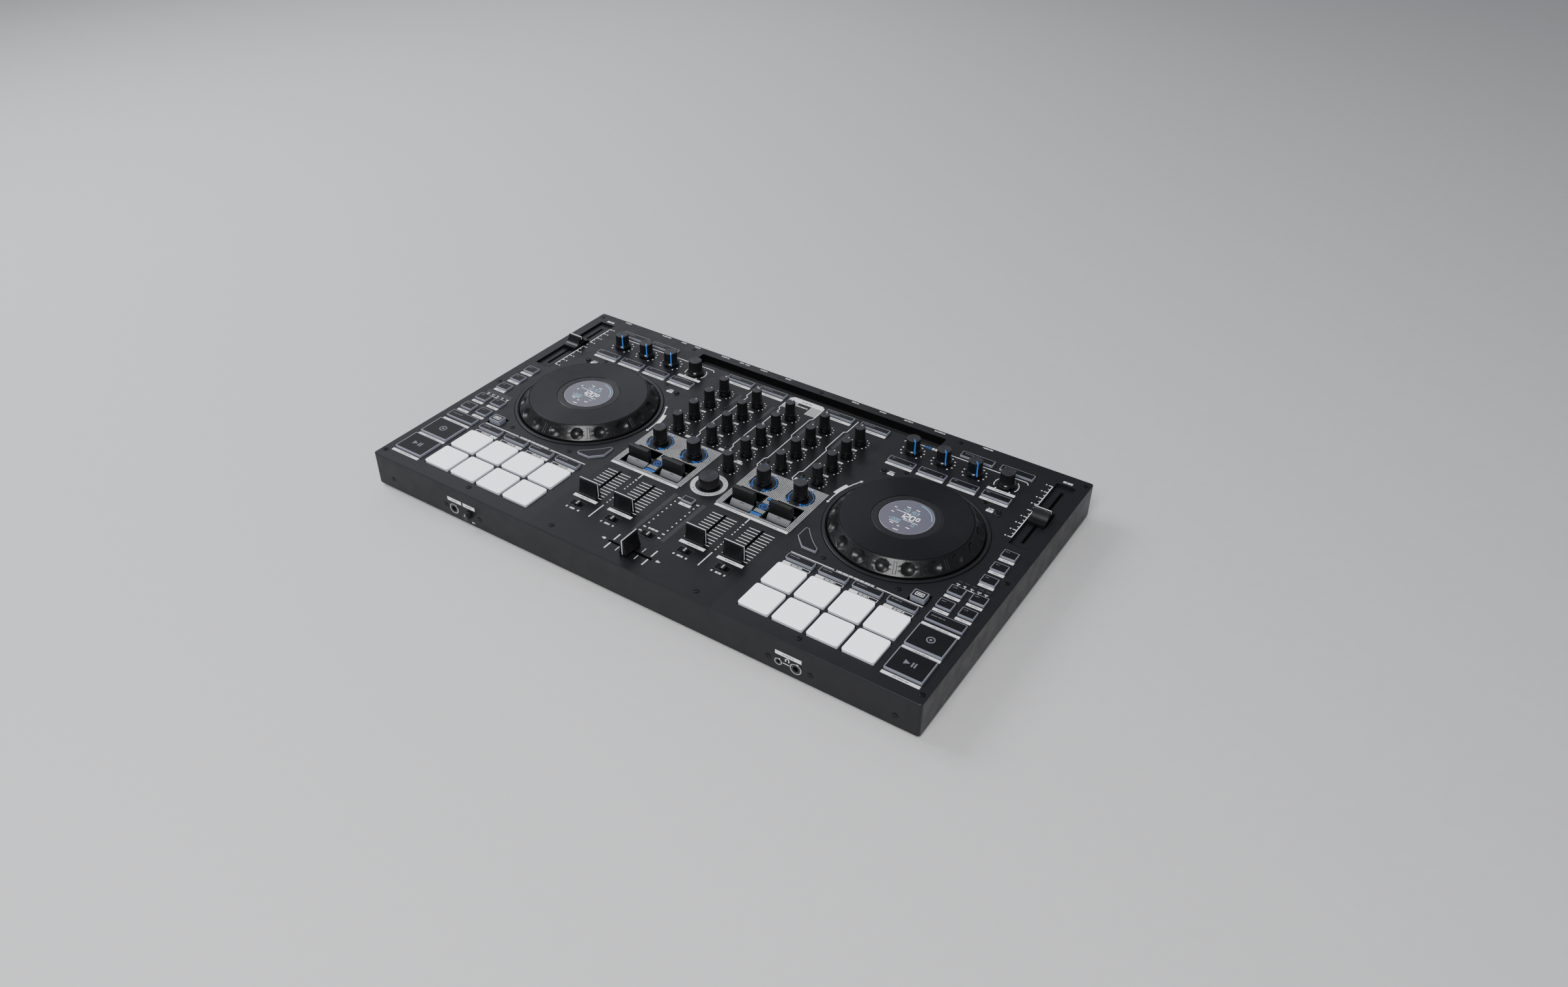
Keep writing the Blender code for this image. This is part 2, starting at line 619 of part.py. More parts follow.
def make_button_mat():
    """One silicone moulding under the plate whose key caps stand through it."""
    low = MAT_TOP - MAT_THICKNESS
    pads_right = pad_column_x(PAD_COLUMNS - 1) + PAD_SIZE / 2
    deck_right = max(pads_right, ROUND_KEY_X[1] + ROUND_KEY_RADIUS) + MAT_HEM
    bridge_rear = LOAD_KEY_Y + LOAD_KEY[1] / 2 + MAT_HEM
    bridge_front = LOAD_KEY_Y - LOAD_KEY[1] / 2 - MAT_HEM
    deck_rear = FX_KNOB_Y + FX_RADIUS[0]
    shape = bmesh.new()
    add_box(shape, (-MAT_INNER_X - MAT_HEM, MAT_INNER_X + MAT_HEM),
            (from_front(bridge_front), from_front(bridge_rear)), (low, MAT_TOP))
    mat = make_piece("button_mat", shape, "mat")

    column_front = SYNC_KEY_Y - SYNC_KEY[1] / 2 - MAT_HEM
    column_rear = TRACK_KEY_Y[-1] + LOOP_KEY[1] / 2 + MAT_HEM
    column_right = COLUMN_X + SYNC_KEY[0] / 2 + MAT_HEM / 2
    rear_left = REAR_KEY_X[0] - REAR_KEY[0] / 2 - MAT_HEM
    rear_right = REAR_KEY_X[1] + REAR_KEY[0] / 2 + MAT_HEM
    rear_edge = REAR_KEY_Y + REAR_KEY[1] / 2 + MAT_HEM
    sheets = (((MAT_INNER_X, deck_right), (MAT_FRONT, deck_rear)),
              ((deck_right - MAT_HEM, column_right), (column_front, column_rear)),
              ((rear_left, rear_right), (deck_rear - MAT_HEM, rear_edge)))
    for number, (x_span, y_span) in enumerate(sheets):
        sheet = bmesh.new()
        for side in (-1, 1):
            x_ends = tuple(sorted((side * x_span[0], side * x_span[1])))
            add_box(sheet, x_ends, tuple(from_front(y) for y in y_span), (low, MAT_TOP))
        combine(mat, f"mat_sheet_{number}", sheet, "UNION")

    openings = bmesh.new()
    for side in (-1, 1):
        opening = circle((side * JOG_X, from_front(JOG_Y)), JOG_RADIUS + MAT_HEM, JOG_SIDES)
        add_prism(openings, opening, low - ABOVE, MAT_TOP + ABOVE)
    for name, x, y, _, _ in knob_table():
        if name.startswith("knob_fx"):
            opening = circle((x, from_front(y)), SHAFT_RADIUS + SHAFT_HOLE_GAP, HOLE_SIDES)
            add_prism(openings, opening, low - ABOVE, MAT_TOP + ABOVE)
    combine(mat, "mat_openings", openings, "DIFFERENCE")

    keys = bmesh.new()
    for outline, height in key_outlines(0.0):
        add_prism(keys, outline, low + MAT_THICKNESS / 2, PLATE_TOP + height)
    combine(mat, "mat_keys", keys, "UNION")


def make_feet():
    """Four rubber feet under the corners."""
    reach_x = BODY_WIDTH / 2 - FOOT_INSET
    reach_y = BODY_DEPTH / 2 - FOOT_INSET
    corners = {"front_left": (-1, -1), "front_right": (1, -1),
               "rear_left": (-1, 1), "rear_right": (1, 1)}
    for corner, (sx, sy) in corners.items():
        shape = bmesh.new()
        add_turned(shape, [(FOOT_RADIUS - FOOT_TAPER, 0.0), (FOOT_RADIUS, FOOT_TAPER),
                           (FOOT_RADIUS, FOOT_HEIGHT - SEAT_GAP)],
                   (sx * reach_x, sy * reach_y), FOOT_SIDES)
        make_piece(f"foot_{corner}", shape, "rubber")


# ---- Moving pieces ----------------------------------------------------------
def make_jog_wheels():
    """The two platters, rings that turn about the fixed display posts."""
    inner = HUB_RADIUS + RUN_GAP
    top = PLATE_TOP + JOG_HEIGHT
    top_radius = JOG_RADIUS - JOG_RIM_WIDTH
    profile = ((JOG_RADIUS, PLATE_TOP - JOG_SKIRT), (JOG_RADIUS, PLATE_TOP + JOG_SHOULDER),
               (top_radius + JOG_EDGE, top - JOG_EDGE), (top_radius, top),
               (inner, top), (inner, PLATE_TOP - JOG_SKIRT))
    for side, deck in ((-1, "left"), (1, "right")):
        centre = (side * JOG_X, from_front(JOG_Y))
        shape = bmesh.new()
        rings = [[(x, y, z) for x, y in circle(centre, radius, JOG_SIDES)]
                 for radius, z in profile]
        add_loft(shape, rings, closed=True)
        make_piece(f"jog_wheel_{deck}", shape, "jog", (*centre, PLATE_TOP))


def make_knobs():
    """Every rotary knob: a tapered grip on a shaft that reaches down to its pot."""
    for name, x, y, (base, tip), height in knob_table():
        shape = bmesh.new()
        profile = ((SHAFT_RADIUS, BOARD_TOP + POT_HEIGHT + RUN_GAP),
                   (SHAFT_RADIUS, PLATE_TOP + KNOB_LIFT), (base, PLATE_TOP + KNOB_LIFT),
                   (tip, PLATE_TOP + height))
        centre = (x, from_front(y))
        add_turned(shape, profile, centre, KNOB_SIDES)
        make_piece(name, shape, "knob", (*centre, PLATE_TOP))


def make_curve_knob():
    """The small crossfader-curve knob on the front face."""
    z = PLATE_TOP - SOCKET_DROP
    base, tip = CURVE_KNOB_RADIUS
    profile = ((tip, FRONT - PROUD), (base, FRONT - SEAT_GAP),
               (CURVE_SHAFT_RADIUS, FRONT - SEAT_GAP),
               (CURVE_SHAFT_RADIUS, FRONT + CURVE_SHAFT_LENGTH))
    rings = []
    for radius, y in profile:
        ring = circle((0, 0), radius, KNOB_SIDES)
        rings.append([(CURVE_KNOB_X + px, y, z + pz) for px, pz in ring])
    shape = bmesh.new()
    add_loft(shape, rings)
    make_piece("curve_knob", shape, "knob", (CURVE_KNOB_X, FRONT, z))


def make_fader_caps():
    """Fader caps, wedge shaped, each on a blade that runs in its slot."""
    for name, (x, y), direction, _, _ in fader_table():
        tempo = name.startswith("tempo")
        width, depth, height = TEMPO_CAP if tempo else FADER_CAP
        low = PLATE_TOP + CAP_LIFT - (TEMPO_WELL[2] if tempo else 0.0)
        crest = CAP_CREST * depth
        levels = ((low, depth), (low + CAP_HEEL, depth), (PLATE_TOP + height, crest))
        shape = bmesh.new()
        rings = []
        for z, thick in ((BOARD_TOP + POT_HEIGHT + RUN_GAP, None), (low, None)) + levels:
            wide, deep = (FADER_STEM if thick is None else (width, thick))
            if direction == "X":
                wide, deep = deep, wide
            rings.append([(px, py, z) for px, py in rectangle((x, from_front(y)), wide, deep)])
        add_loft(shape, rings)
        make_piece(name, shape, "cap", (x, from_front(y), PLATE_TOP))


def paddle_profile():
    """Side view of a paddle about its pivot: a round hub, flat below, with a fin on top."""
    low = -PADDLE_HUB_CUT
    start = math.asin(low / PADDLE_HUB_RADIUS)
    root_front = math.acos(PADDLE_FIN[0] / PADDLE_HUB_RADIUS)
    root_rear = math.acos(PADDLE_FIN[1] / PADDLE_HUB_RADIUS)
    steps = 4

    def arc(first, last):
        angles = [first + (last - first) * k / steps for k in range(steps + 1)]
        return [(PADDLE_HUB_RADIUS * math.cos(a), PADDLE_HUB_RADIUS * math.sin(a))
                for a in angles]

    top = PADDLE_PIVOT_DROP + PADDLE_HEIGHT
    shoulder = top - PADDLE_FIN_CHAMFER
    fin = [(PADDLE_FIN[1], shoulder), (PADDLE_FIN[1] - PADDLE_FIN_CHAMFER, top),
           (PADDLE_FIN[0] + PADDLE_FIN_CHAMFER, top), (PADDLE_FIN[0], shoulder)]
    return arc(start, root_rear) + fin + arc(root_front, math.pi - start)


def make_paddles():
    """The four effect paddles, levers that rock about a bar under the plate."""
    pivot_y = from_front(PADDLE_PIVOT_Y)
    pivot_z = PLATE_TOP - PADDLE_PIVOT_DROP
    for index in range(CHANNELS):
        x = channel_x(index)
        shape = bmesh.new()
        add_loft(shape, [[(x + sx * PADDLE_SIZE / 2, pivot_y + py, pivot_z + pz)
                          for py, pz in paddle_profile()] for sx in (-1, 1)])
        make_piece(f"fx_paddle_{index + 1}", shape, "cap", (x, pivot_y, pivot_z))


def make_play_buttons():
    """Play and cue buttons, each with a flange under the plate and a stem to its switch."""
    for name, x, y in play_buttons():
        centre = (x, from_front(y))
        flange_top = PLATE_BOTTOM - SEAT_GAP
        flange = [size + 2 * (KEY_GAP + PLAY_FLANGE) for size in PLAY_SIZE]
        levels = ((BOARD_TOP + TACT_SWITCH_HEIGHT + PLAY_TRAVEL + SEAT_GAP, (PLAY_STEM, PLAY_STEM)),
                  (flange_top - MAT_THICKNESS, (PLAY_STEM, PLAY_STEM)),
                  (flange_top - MAT_THICKNESS, flange), (flange_top, flange),
                  (flange_top, PLAY_SIZE), (PLATE_TOP + PLAY_HEIGHT, PLAY_SIZE))
        shape = bmesh.new()
        add_loft(shape, [[(px, py, z) for px, py in rectangle(centre, *size)]
                         for z, size in levels])
        make_piece(name, shape, "button", (*centre, PLATE_TOP))


def clear_scene():
    """Remove what a new file holds."""
    for item in list(bpy.data.objects):
        bpy.data.objects.remove(item, do_unlink=True)


clear_scene()
make_bottom_case()
make_top_plate()
make_main_board()
make_button_mat()
make_feet()
make_jog_wheels()
make_knobs()
make_curve_knob()
make_fader_caps()
make_paddles()
make_play_buttons()
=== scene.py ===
"""Looks of the DJ controller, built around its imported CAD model.

Pieces are drawn in millimetres on a face of the unit. On the plate, x runs right from
the middle, y runs back from the front edge and z runs up from the plate. On the front
and rear faces, x runs right as that face is seen, y runs up from the plate's top and z
runs out of the face.
"""
import math

import bmesh
import bpy
from mathutils import Euler, Matrix, Vector


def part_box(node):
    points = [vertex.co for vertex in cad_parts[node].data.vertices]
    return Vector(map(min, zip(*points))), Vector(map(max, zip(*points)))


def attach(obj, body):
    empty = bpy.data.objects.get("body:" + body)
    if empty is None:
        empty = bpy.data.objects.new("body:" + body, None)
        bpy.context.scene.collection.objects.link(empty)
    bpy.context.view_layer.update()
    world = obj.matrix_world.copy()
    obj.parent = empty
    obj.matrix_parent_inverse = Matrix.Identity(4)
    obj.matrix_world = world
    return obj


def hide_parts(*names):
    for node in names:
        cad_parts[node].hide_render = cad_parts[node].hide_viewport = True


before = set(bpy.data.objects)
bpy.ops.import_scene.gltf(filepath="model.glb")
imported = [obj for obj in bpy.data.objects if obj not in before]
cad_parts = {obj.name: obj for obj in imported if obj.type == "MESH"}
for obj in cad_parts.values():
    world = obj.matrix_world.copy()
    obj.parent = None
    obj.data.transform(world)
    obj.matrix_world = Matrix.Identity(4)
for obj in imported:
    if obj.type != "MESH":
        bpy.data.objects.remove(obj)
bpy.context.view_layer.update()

MM = 0.001
PLATE_LOW, PLATE_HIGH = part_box("top_plate")
FRONT = PLATE_LOW.y
REAR = PLATE_HIGH.y
TOP = PLATE_HIGH.z
DECKS = ((-1, "left"), (1, "right"))
CHANNELS = (1, 2, 3, 4)

FACES = {
    "top": (Vector((0, FRONT, TOP)), Euler((0, 0, 0))),
    "front": (Vector((0, FRONT, TOP)), Euler((math.pi / 2, 0, 0))),
    "rear": (Vector((0, REAR, TOP)), Euler((math.pi / 2, 0, math.pi))),
}

PRINT_ROOT = -0.05                  # underside of the printing, let into the plate
PRINT_RISE = 0.06                   # its top
LABEL_RISE = 0.10                   # top of a caption on a label bar
LEVEL = 0.9995                      # a face's upright share above which it is flat
ROUND = 192                         # sides of the largest turned shapes


# ---- Materials --------------------------------------------------------------
NOISE_SPAN = (0.3, 0.7)             # where nearly all values of a noise texture lie
MOTTLE_SCALE = 60.0                 # patches of colour and gloss about 17 mm wide
GLOSS_SWING = 0.12                  # how far roughness strays to either side
WAVE_LENGTH = 0.314                 # length of a wave texture's ring at a scale of 1

MIXER_HALF = 120.5                  # the mixer's overlay, either side of the middle
SLOT_Y = 385.75                     # the tablet slot in the plate
SLOT_WIDTH = 354.6
SLOT_DEPTH = 19.5
BOARD_DROP = 20.0                   # top of the circuit board under the plate's top


def add_noise(nodes, links, scale, detail):
    """A noise texture fixed to the piece, whose features are 1 / scale metres wide."""
    place = nodes.new("ShaderNodeTexCoord")
    noise = nodes.new("ShaderNodeTexNoise")
    noise.inputs["Scale"].default_value = scale
    noise.inputs["Detail"].default_value = detail
    links.new(place.outputs["Object"], noise.inputs["Vector"])
    return noise.outputs["Fac"]


def spread(nodes, links, source, low, high):
    """A value that follows a texture between two limits."""
    span = nodes.new("ShaderNodeMapRange")
    limits = (*NOISE_SPAN, low, high)
    for name, limit in zip(("From Min", "From Max", "To Min", "To Max"), limits):
        span.inputs[name].default_value = limit
    links.new(source, span.inputs["Value"])
    return span.outputs["Result"]


def mix_colours(nodes, links, factor, first, second):
    """A colour between two others; each is a socket or an RGB triple."""
    mix = nodes.new("ShaderNodeMix")
    mix.data_type = "RGBA"
    links.new(factor, mix.inputs["Factor"])
    for socket, colour in ((mix.inputs["A"], first), (mix.inputs["B"], second)):
        if isinstance(colour, tuple):
            socket.default_value = (*colour, 1.0)
        else:
            links.new(colour, socket)
    return mix.outputs["Result"]


def add_bump(nodes, links, shader, height, strength, distance):
    """Fine relief on the shader's normal."""
    bump = nodes.new("ShaderNodeBump")
    bump.inputs["Strength"].default_value = strength
    bump.inputs["Distance"].default_value = distance * MM
    links.new(height, bump.inputs["Height"])
    links.new(bump.outputs["Normal"], shader.inputs["Normal"])


def surface(name, colour, roughness, metallic=0.0, vary=0.12, grain=1500.0, relief=0.25,
            depth=0.05, coat=0.0, glow=0.0, glow_colour=None, specular=0.5):
    """A moulded, painted or metal surface with mottled colour, uneven gloss and grain."""
    material = bpy.data.materials.new(name)
    material.use_nodes = True
    nodes, links = material.node_tree.nodes, material.node_tree.links
    shader = nodes["Principled BSDF"]
    shader.inputs["Metallic"].default_value = metallic
    shader.inputs["Specular IOR Level"].default_value = specular
    shader.inputs["Coat Weight"].default_value = coat
    shader.inputs["Coat Roughness"].default_value = 0.08
    fine = add_noise(nodes, links, grain, 3.0)
    broad = add_noise(nodes, links, MOTTLE_SCALE, 4.0)
    dark = tuple(value * (1 - vary) for value in colour)
    light = tuple(min(1.0, value * (1 + vary)) for value in colour)
    tint = mix_colours(nodes, links, broad, dark, light)
    links.new(tint, shader.inputs["Base Color"])
    gloss = spread(nodes, links, broad, roughness * (1 - GLOSS_SWING),
                   min(1.0, roughness * (1 + GLOSS_SWING)))
    links.new(gloss, shader.inputs["Roughness"])
    add_bump(nodes, links, shader, fine, relief, depth)
    # glow is real light on the pads, keys, button marks and displays, and painted glow on
    # printing, pointers and knob lines
    if glow > 0.0:
        shader.inputs["Emission Strength"].default_value = glow
        shader.inputs["Emission Color"].default_value = (*(glow_colour or colour), 1.0)
    return material


def box_mask(nodes, links, spans):
    """1 inside the spans along the piece's own axes, in metres, and 0 outside."""
    place = nodes.new("ShaderNodeTexCoord")
    split = nodes.new("ShaderNodeSeparateXYZ")
    links.new(place.outputs["Object"], split.inputs["Vector"])
    result = None
    for axis, (low, high) in spans.items():
        for limit, operation in ((low, "GREATER_THAN"), (high, "LESS_THAN")):
            test = nodes.new("ShaderNodeMath")
            test.operation = operation
            test.inputs[1].default_value = limit
            links.new(split.outputs[axis], test.inputs[0])
            if result is None:
                result = test.outputs["Value"]
                continue
            both = nodes.new("ShaderNodeMath")
            both.operation = "MULTIPLY"
            links.new(result, both.inputs[0])
            links.new(test.outputs["Value"], both.inputs[1])
            result = both.outputs["Value"]
    return result


def repaint(material, spans, colour):
    """Give part of a surface, a box in the piece's own axes, another colour."""
    nodes, links = material.node_tree.nodes, material.node_tree.links
    socket = nodes["Principled BSDF"].inputs["Base Color"]
    before = socket.links[0].from_socket
    mask = box_mask(nodes, links, spans)
    links.new(mix_colours(nodes, links, mask, before, colour), socket)


def plate_finish():
    """Powder-coated steel, darker where the mixer's overlay lies, with painted shade in the
    tablet slot.
    """
    material = surface("plate_anthracite", (0.0155, 0.016, 0.0195), 0.40, metallic=0.20,
                       vary=0.06, grain=2600.0, relief=0.35, depth=0.04)
    repaint(material, {"X": (-MIXER_HALF * MM, MIXER_HALF * MM)}, (0.0120, 0.0122, 0.0145))
    # Painted shade: the tablet slot's walls and floor are made near black.
    slot_low = FRONT + (SLOT_Y - SLOT_DEPTH / 2 - 0.5) * MM
    repaint(material, {"X": (-SLOT_WIDTH / 2 * MM, SLOT_WIDTH / 2 * MM),
                       "Y": (slot_low, slot_low + (SLOT_DEPTH + 1.0) * MM),
                       "Z": (0.0, TOP - 0.5 * MM)}, (0.007, 0.007, 0.008))
    return material


def board_finish():
    """Green circuit board whose sockets, pots and posts are black plastic."""
    material = surface("board_black_parts", (0.012, 0.012, 0.013), 0.45)
    board_top = TOP - BOARD_DROP * MM
    repaint(material, {"Z": (board_top - 2 * MM, board_top + 0.05 * MM)},
            (0.004, 0.012, 0.007))
    return material


def ring_relief(material, pitch, strength, depth, anisotropy):
    """Fine turned rings about the piece's own axis, as on a record or a cut metal face."""
    nodes, links = material.node_tree.nodes, material.node_tree.links
    shader = nodes["Principled BSDF"]
    place = nodes.new("ShaderNodeTexCoord")
    wave = nodes.new("ShaderNodeTexWave")
    wave.wave_type = "RINGS"
    wave.rings_direction = "Z"
    wave.inputs["Scale"].default_value = WAVE_LENGTH / (pitch * MM)
    links.new(place.outputs["Object"], wave.inputs["Vector"])
    add_bump(nodes, links, shader, wave.outputs["Fac"], strength, depth)
    tangent = nodes.new("ShaderNodeTangent")
    tangent.direction_type = "RADIAL"
    tangent.axis = "Z"
    links.new(tangent.outputs["Tangent"], shader.inputs["Tangent"])
    shader.inputs["Anisotropic"].default_value = anisotropy
    shader.inputs["Anisotropic Rotation"].default_value = 0.25
    return material


WHITE = (0.90, 0.90, 0.92)
BLUE = (0.020, 0.130, 0.480)

FINISHES = {
    "plate": plate_finish(),
    "board": board_finish(),
    "case": surface("case_black_steel", (0.011, 0.011, 0.0125), 0.45, metallic=0.3,
                    vary=0.08, grain=2200.0, relief=0.45, depth=0.06),
    "bezel": surface("bezel_anthracite", (0.020, 0.020, 0.024), 0.36, metallic=0.2,
                     grain=2400.0, relief=0.25),
    # gap: near black, painted shade in the gaps, wells, openings and slots where it is used
    "gap": surface("dark_gap", (0.004, 0.004, 0.005), 0.60, specular=0.2),
    # painted glow on the plate's printing; on the keys' captions the same glow is their real
    # backlight
    "white": surface("print_white", WHITE, 0.50, vary=0.05, grain=3000.0, relief=0.15,
                     glow=0.20),
    # painted glow on the blue printing
    "blue": surface("print_blue", BLUE, 0.45, vary=0.08, grain=3000.0, relief=0.15,
                    glow=0.25, glow_colour=BLUE),
    "grey": surface("print_grey", (0.20, 0.20, 0.23), 0.50, vary=0.08),
    "ink": surface("print_ink", (0.10, 0.10, 0.11), 0.50),
    "key_body": surface("key_translucent", (0.26, 0.275, 0.33), 0.32, vary=0.05,
                        grain=900.0, relief=0.08, coat=0.2, glow=0.02),
    "key_face": surface("key_smoked_face", (0.012, 0.012, 0.015), 0.30, vary=0.08,
                        grain=1800.0, relief=0.10, specular=0.25),
    "pad": surface("pad_silicone_lit", (0.80, 0.80, 0.85), 0.48, vary=0.02, grain=1600.0,
                   relief=0.15, glow=1.15, glow_colour=(0.90, 0.91, 1.0)),
    # painted shade: the pads' walls are a darker copy of the lit top's silicone
    "pad_wall_painted_shade": surface("pad_silicone_wall_painted_shade", (0.50, 0.51, 0.58), 0.50, vary=0.03,
                        grain=1600.0, relief=0.15, glow=0.20, glow_colour=(0.9, 0.91, 1.0)),
    "rubber": surface("foot_rubber", (0.018, 0.018, 0.019), 0.85, grain=2500.0, relief=0.6,
                      depth=0.1),
    "rim": surface("jog_rim_gloss", (0.007, 0.007, 0.008), 0.34, vary=0.10, grain=1200.0,
                   relief=0.05, coat=0.12),
    "vinyl": ring_relief(surface("jog_top_vinyl", (0.022, 0.0225, 0.026), 0.30,
                                 metallic=0.60, vary=0.05), 0.55, 0.30, 0.05, 0.65),
    "hub": ring_relief(surface("jog_hub_ring", (0.014, 0.014, 0.017), 0.36, vary=0.05),
                       0.55, 0.25, 0.05, 0.5),
    "screen": surface("display_screen", (0.050, 0.050, 0.066), 0.28, vary=0.04,
                      coat=0.2, glow=0.24, glow_colour=(0.42, 0.42, 0.56)),
    "lens_rim": surface("display_lens_rim", (0.22, 0.22, 0.26), 0.18, vary=0.05, coat=0.8),
    "digit_white": surface("display_digit_white", (0.9, 0.9, 0.95), 0.4, vary=0.02,
                           glow=1.3, glow_colour=(0.95, 0.97, 1.0)),
    "digit_cyan": surface("display_digit_cyan", (0.25, 0.50, 0.62), 0.4, vary=0.02,
                          glow=0.45, glow_colour=(0.22, 0.52, 0.70)),
    "knob": surface("knob_black_rubber", (0.007, 0.007, 0.008), 0.38, vary=0.12,
                    grain=2000.0, relief=0.25),
    "skirt": surface("knob_skirt_gloss", (0.005, 0.005, 0.006), 0.20, vary=0.10,
                     grain=1500.0, relief=0.06, coat=0.4),
    "knob_top": ring_relief(surface("knob_top_satin", (0.050, 0.050, 0.056), 0.42,
                                    metallic=0.3, vary=0.08), 0.35, 0.25, 0.03, 0.4),
    "brushed": ring_relief(surface("browse_top_brushed", (0.055, 0.055, 0.063), 0.26,
                                   metallic=0.8, vary=0.06), 0.25, 0.35, 0.03, 0.85),
    # painted glow on the white pointers and lines of knobs, fader caps and switch levers
    "pointer": surface("knob_pointer_white_painted_glow", (0.85, 0.85, 0.88), 0.4, vary=0.03,
                       glow=0.15, glow_colour=(0.9, 0.9, 1.0)),
    # painted glow on the effect knobs' blue lines
    "painted_glow_blue": surface("knob_line_blue_painted_glow", (0.015, 0.14, 0.55), 0.3, vary=0.05,
                         glow=0.30, glow_colour=(0.02, 0.22, 0.85)),
    "cap": surface("fader_cap_black", (0.008, 0.008, 0.010), 0.30, vary=0.12,
                   grain=1800.0, relief=0.15, coat=0.15),
    "blade": surface("paddle_blade_black", (0.011, 0.011, 0.012), 0.42, vary=0.10,
                     grain=1800.0, relief=0.25),
    "drum": surface("paddle_drum_grey", (0.24, 0.24, 0.26), 0.40, metallic=0.2, vary=0.08,
                    grain=2000.0, relief=0.2),
    "silver": ring_relief(surface("silver_ring", (0.78, 0.78, 0.80), 0.34, metallic=0.30,
                                  vary=0.05), 0.4, 0.15, 0.02, 0.4),
    "chrome": surface("socket_nickel", (0.60, 0.60, 0.62), 0.18, metallic=1.0, vary=0.05,
                      grain=800.0, relief=0.05),
    "screw": surface("screw_black_oxide", (0.035, 0.035, 0.038), 0.28, metallic=0.85,
                     vary=0.10, grain=1500.0, relief=0.15),
    "meter": surface("meter_window", (0.008, 0.008, 0.011), 0.25, vary=0.08, coat=0.2),
    "lamp": surface("lamp_off", (0.040, 0.040, 0.050), 0.40, vary=0.08),
    "red": surface("socket_red", (0.45, 0.02, 0.02), 0.40, vary=0.08),
    "cream": surface("socket_white", (0.75, 0.74, 0.70), 0.40, vary=0.05),
    "plastic": surface("socket_black", (0.016, 0.016, 0.017), 0.40, vary=0.10,
                       grain=1600.0, relief=0.3),
    "collar": surface("key_collar_dark", (0.10, 0.10, 0.11), 0.35, metallic=0.5),
    "button_mark": surface("button_mark_lit", (0.20, 0.21, 0.25), 0.40, vary=0.05,
                           glow=0.08),
}


# ---- Shape kit --------------------------------------------------------------
def circle(x, y, radius, sides):
    """Points of a circle, anticlockwise from +x."""
    step = 2 * math.pi / sides
    return [(x + radius * math.cos(step * k), y + radius * math.sin(step * k))
            for k in range(sides)]


def polar(radius, degrees, x=0.0, y=0.0):
    """A point at a distance and an angle from a centre, anticlockwise from +x."""
    angle = math.radians(degrees)
    return (x + radius * math.cos(angle), y + radius * math.sin(angle))


def block(x, y, width, depth):
    """Corners of a rectangle about a centre, anticlockwise."""
    w, d = width / 2, depth / 2
    return [(x - w, y - d), (x + w, y - d), (x + w, y + d), (x - w, y + d)]


def inset(outline, distance):
    """An anticlockwise outline moved inwards."""
    moved = []
    for k, here in enumerate(outline):
        before, after = outline[k - 1], outline[(k + 1) % len(outline)]
        ax, ay = here[0] - before[0], here[1] - before[1]
        bx, by = after[0] - here[0], after[1] - here[1]
        a, b = math.hypot(ax, ay), math.hypot(bx, by)
        normal_a, normal_b = (-ay / a, ax / a), (-by / b, bx / b)
        dot = normal_a[0] * normal_b[0] + normal_a[1] * normal_b[1]
        scale = distance / (1 + dot)
        moved.append((here[0] + (normal_a[0] + normal_b[0]) * scale,
                      here[1] + (normal_a[1] + normal_b[1]) * scale))
    return moved


def soften(outline, radius, steps=4):
    """An outline with its corners rounded."""
    points = []
    for k, here in enumerate(outline):
        before, after = Vector(outline[k - 1]), Vector(outline[(k + 1) % len(outline)])
        spot = Vector(here)
        back, on = before - spot, after - spot
        if back.angle(-on) < math.radians(20):
            points.append(here)
            continue
        reach = min(radius, back.length * 0.45, on.length * 0.45)
        start, end = spot + back.normalized() * reach, spot + on.normalized() * reach
        for step in range(steps + 1):
            t = step / steps
            bend = start * (1 - t) ** 2 + spot * 2 * t * (1 - t) + end * t ** 2
            points.append((bend.x, bend.y))
    return points


def add_loft(shape, rings, finish=0, closed=False, finishes=None):
    """Skin rings of points into a closed solid; finishes may name one for each band."""
    loops = [[shape.verts.new(point) for point in ring] for ring in rings]
    count = len(loops[0])
    pairs = list(zip(loops, loops[1:]))
    if closed:
        pairs.append((loops[-1], loops[0]))
    for band, (low, high) in enumerate(pairs):
        number = finishes[band] if finishes else finish
        for k in range(count):
            nxt = (k + 1) % count
            shape.faces.new((low[k], low[nxt], high[nxt], high[k])).material_index = number
    if not closed:
        shape.faces.new(list(reversed(loops[0]))).material_index = finish
        last = finishes[-1] if finishes else finish
        shape.faces.new(loops[-1]).material_index = last


def add_stack(shape, outline, levels, finish=0):
    """A solid on an outline, from (height, inset) pairs, bottom to top."""
    rings = []
    for z, distance in levels:
        ring = inset(outline, distance) if distance else outline
        rings.append([(x, y, z) for x, y in ring])
    add_loft(shape, rings, finish)


def add_prism(shape, outline, low, high, finish=0):
    """A straight solid on an outline."""
    add_stack(shape, outline, ((low, 0.0), (high, 0.0)), finish)


def add_turned(shape, profile, sides, x=0.0, y=0.0, finish=0, closed=False):
    """A solid turned about an upright axis, from (radius, height) pairs."""
    rings = [[(px, py, z) for px, py in circle(x, y, radius, sides)]
             for radius, z in profile]
    add_loft(shape, rings, finish, closed)


def add_print(shape, outline, rise=PRINT_RISE, finish=0):
    """Printing on an outline."""
    add_prism(shape, outline, PRINT_ROOT, rise, finish)


def add_bar(shape, x, y, width, depth, rise=PRINT_RISE, finish=0):
    """A printed rectangle about a centre."""
    add_print(shape, block(x, y, width, depth), rise, finish)


def add_mark(shape, x0, x1, y0, y1, rise=PRINT_RISE, finish=0):
    """A printed rectangle between two x and two y."""
    add_bar(shape, (x0 + x1) / 2, (y0 + y1) / 2, abs(x1 - x0), abs(y1 - y0), rise, finish)


def add_dot(shape, x, y, radius):
    """A printed dot."""
    add_print(shape, circle(x, y, radius, 10))


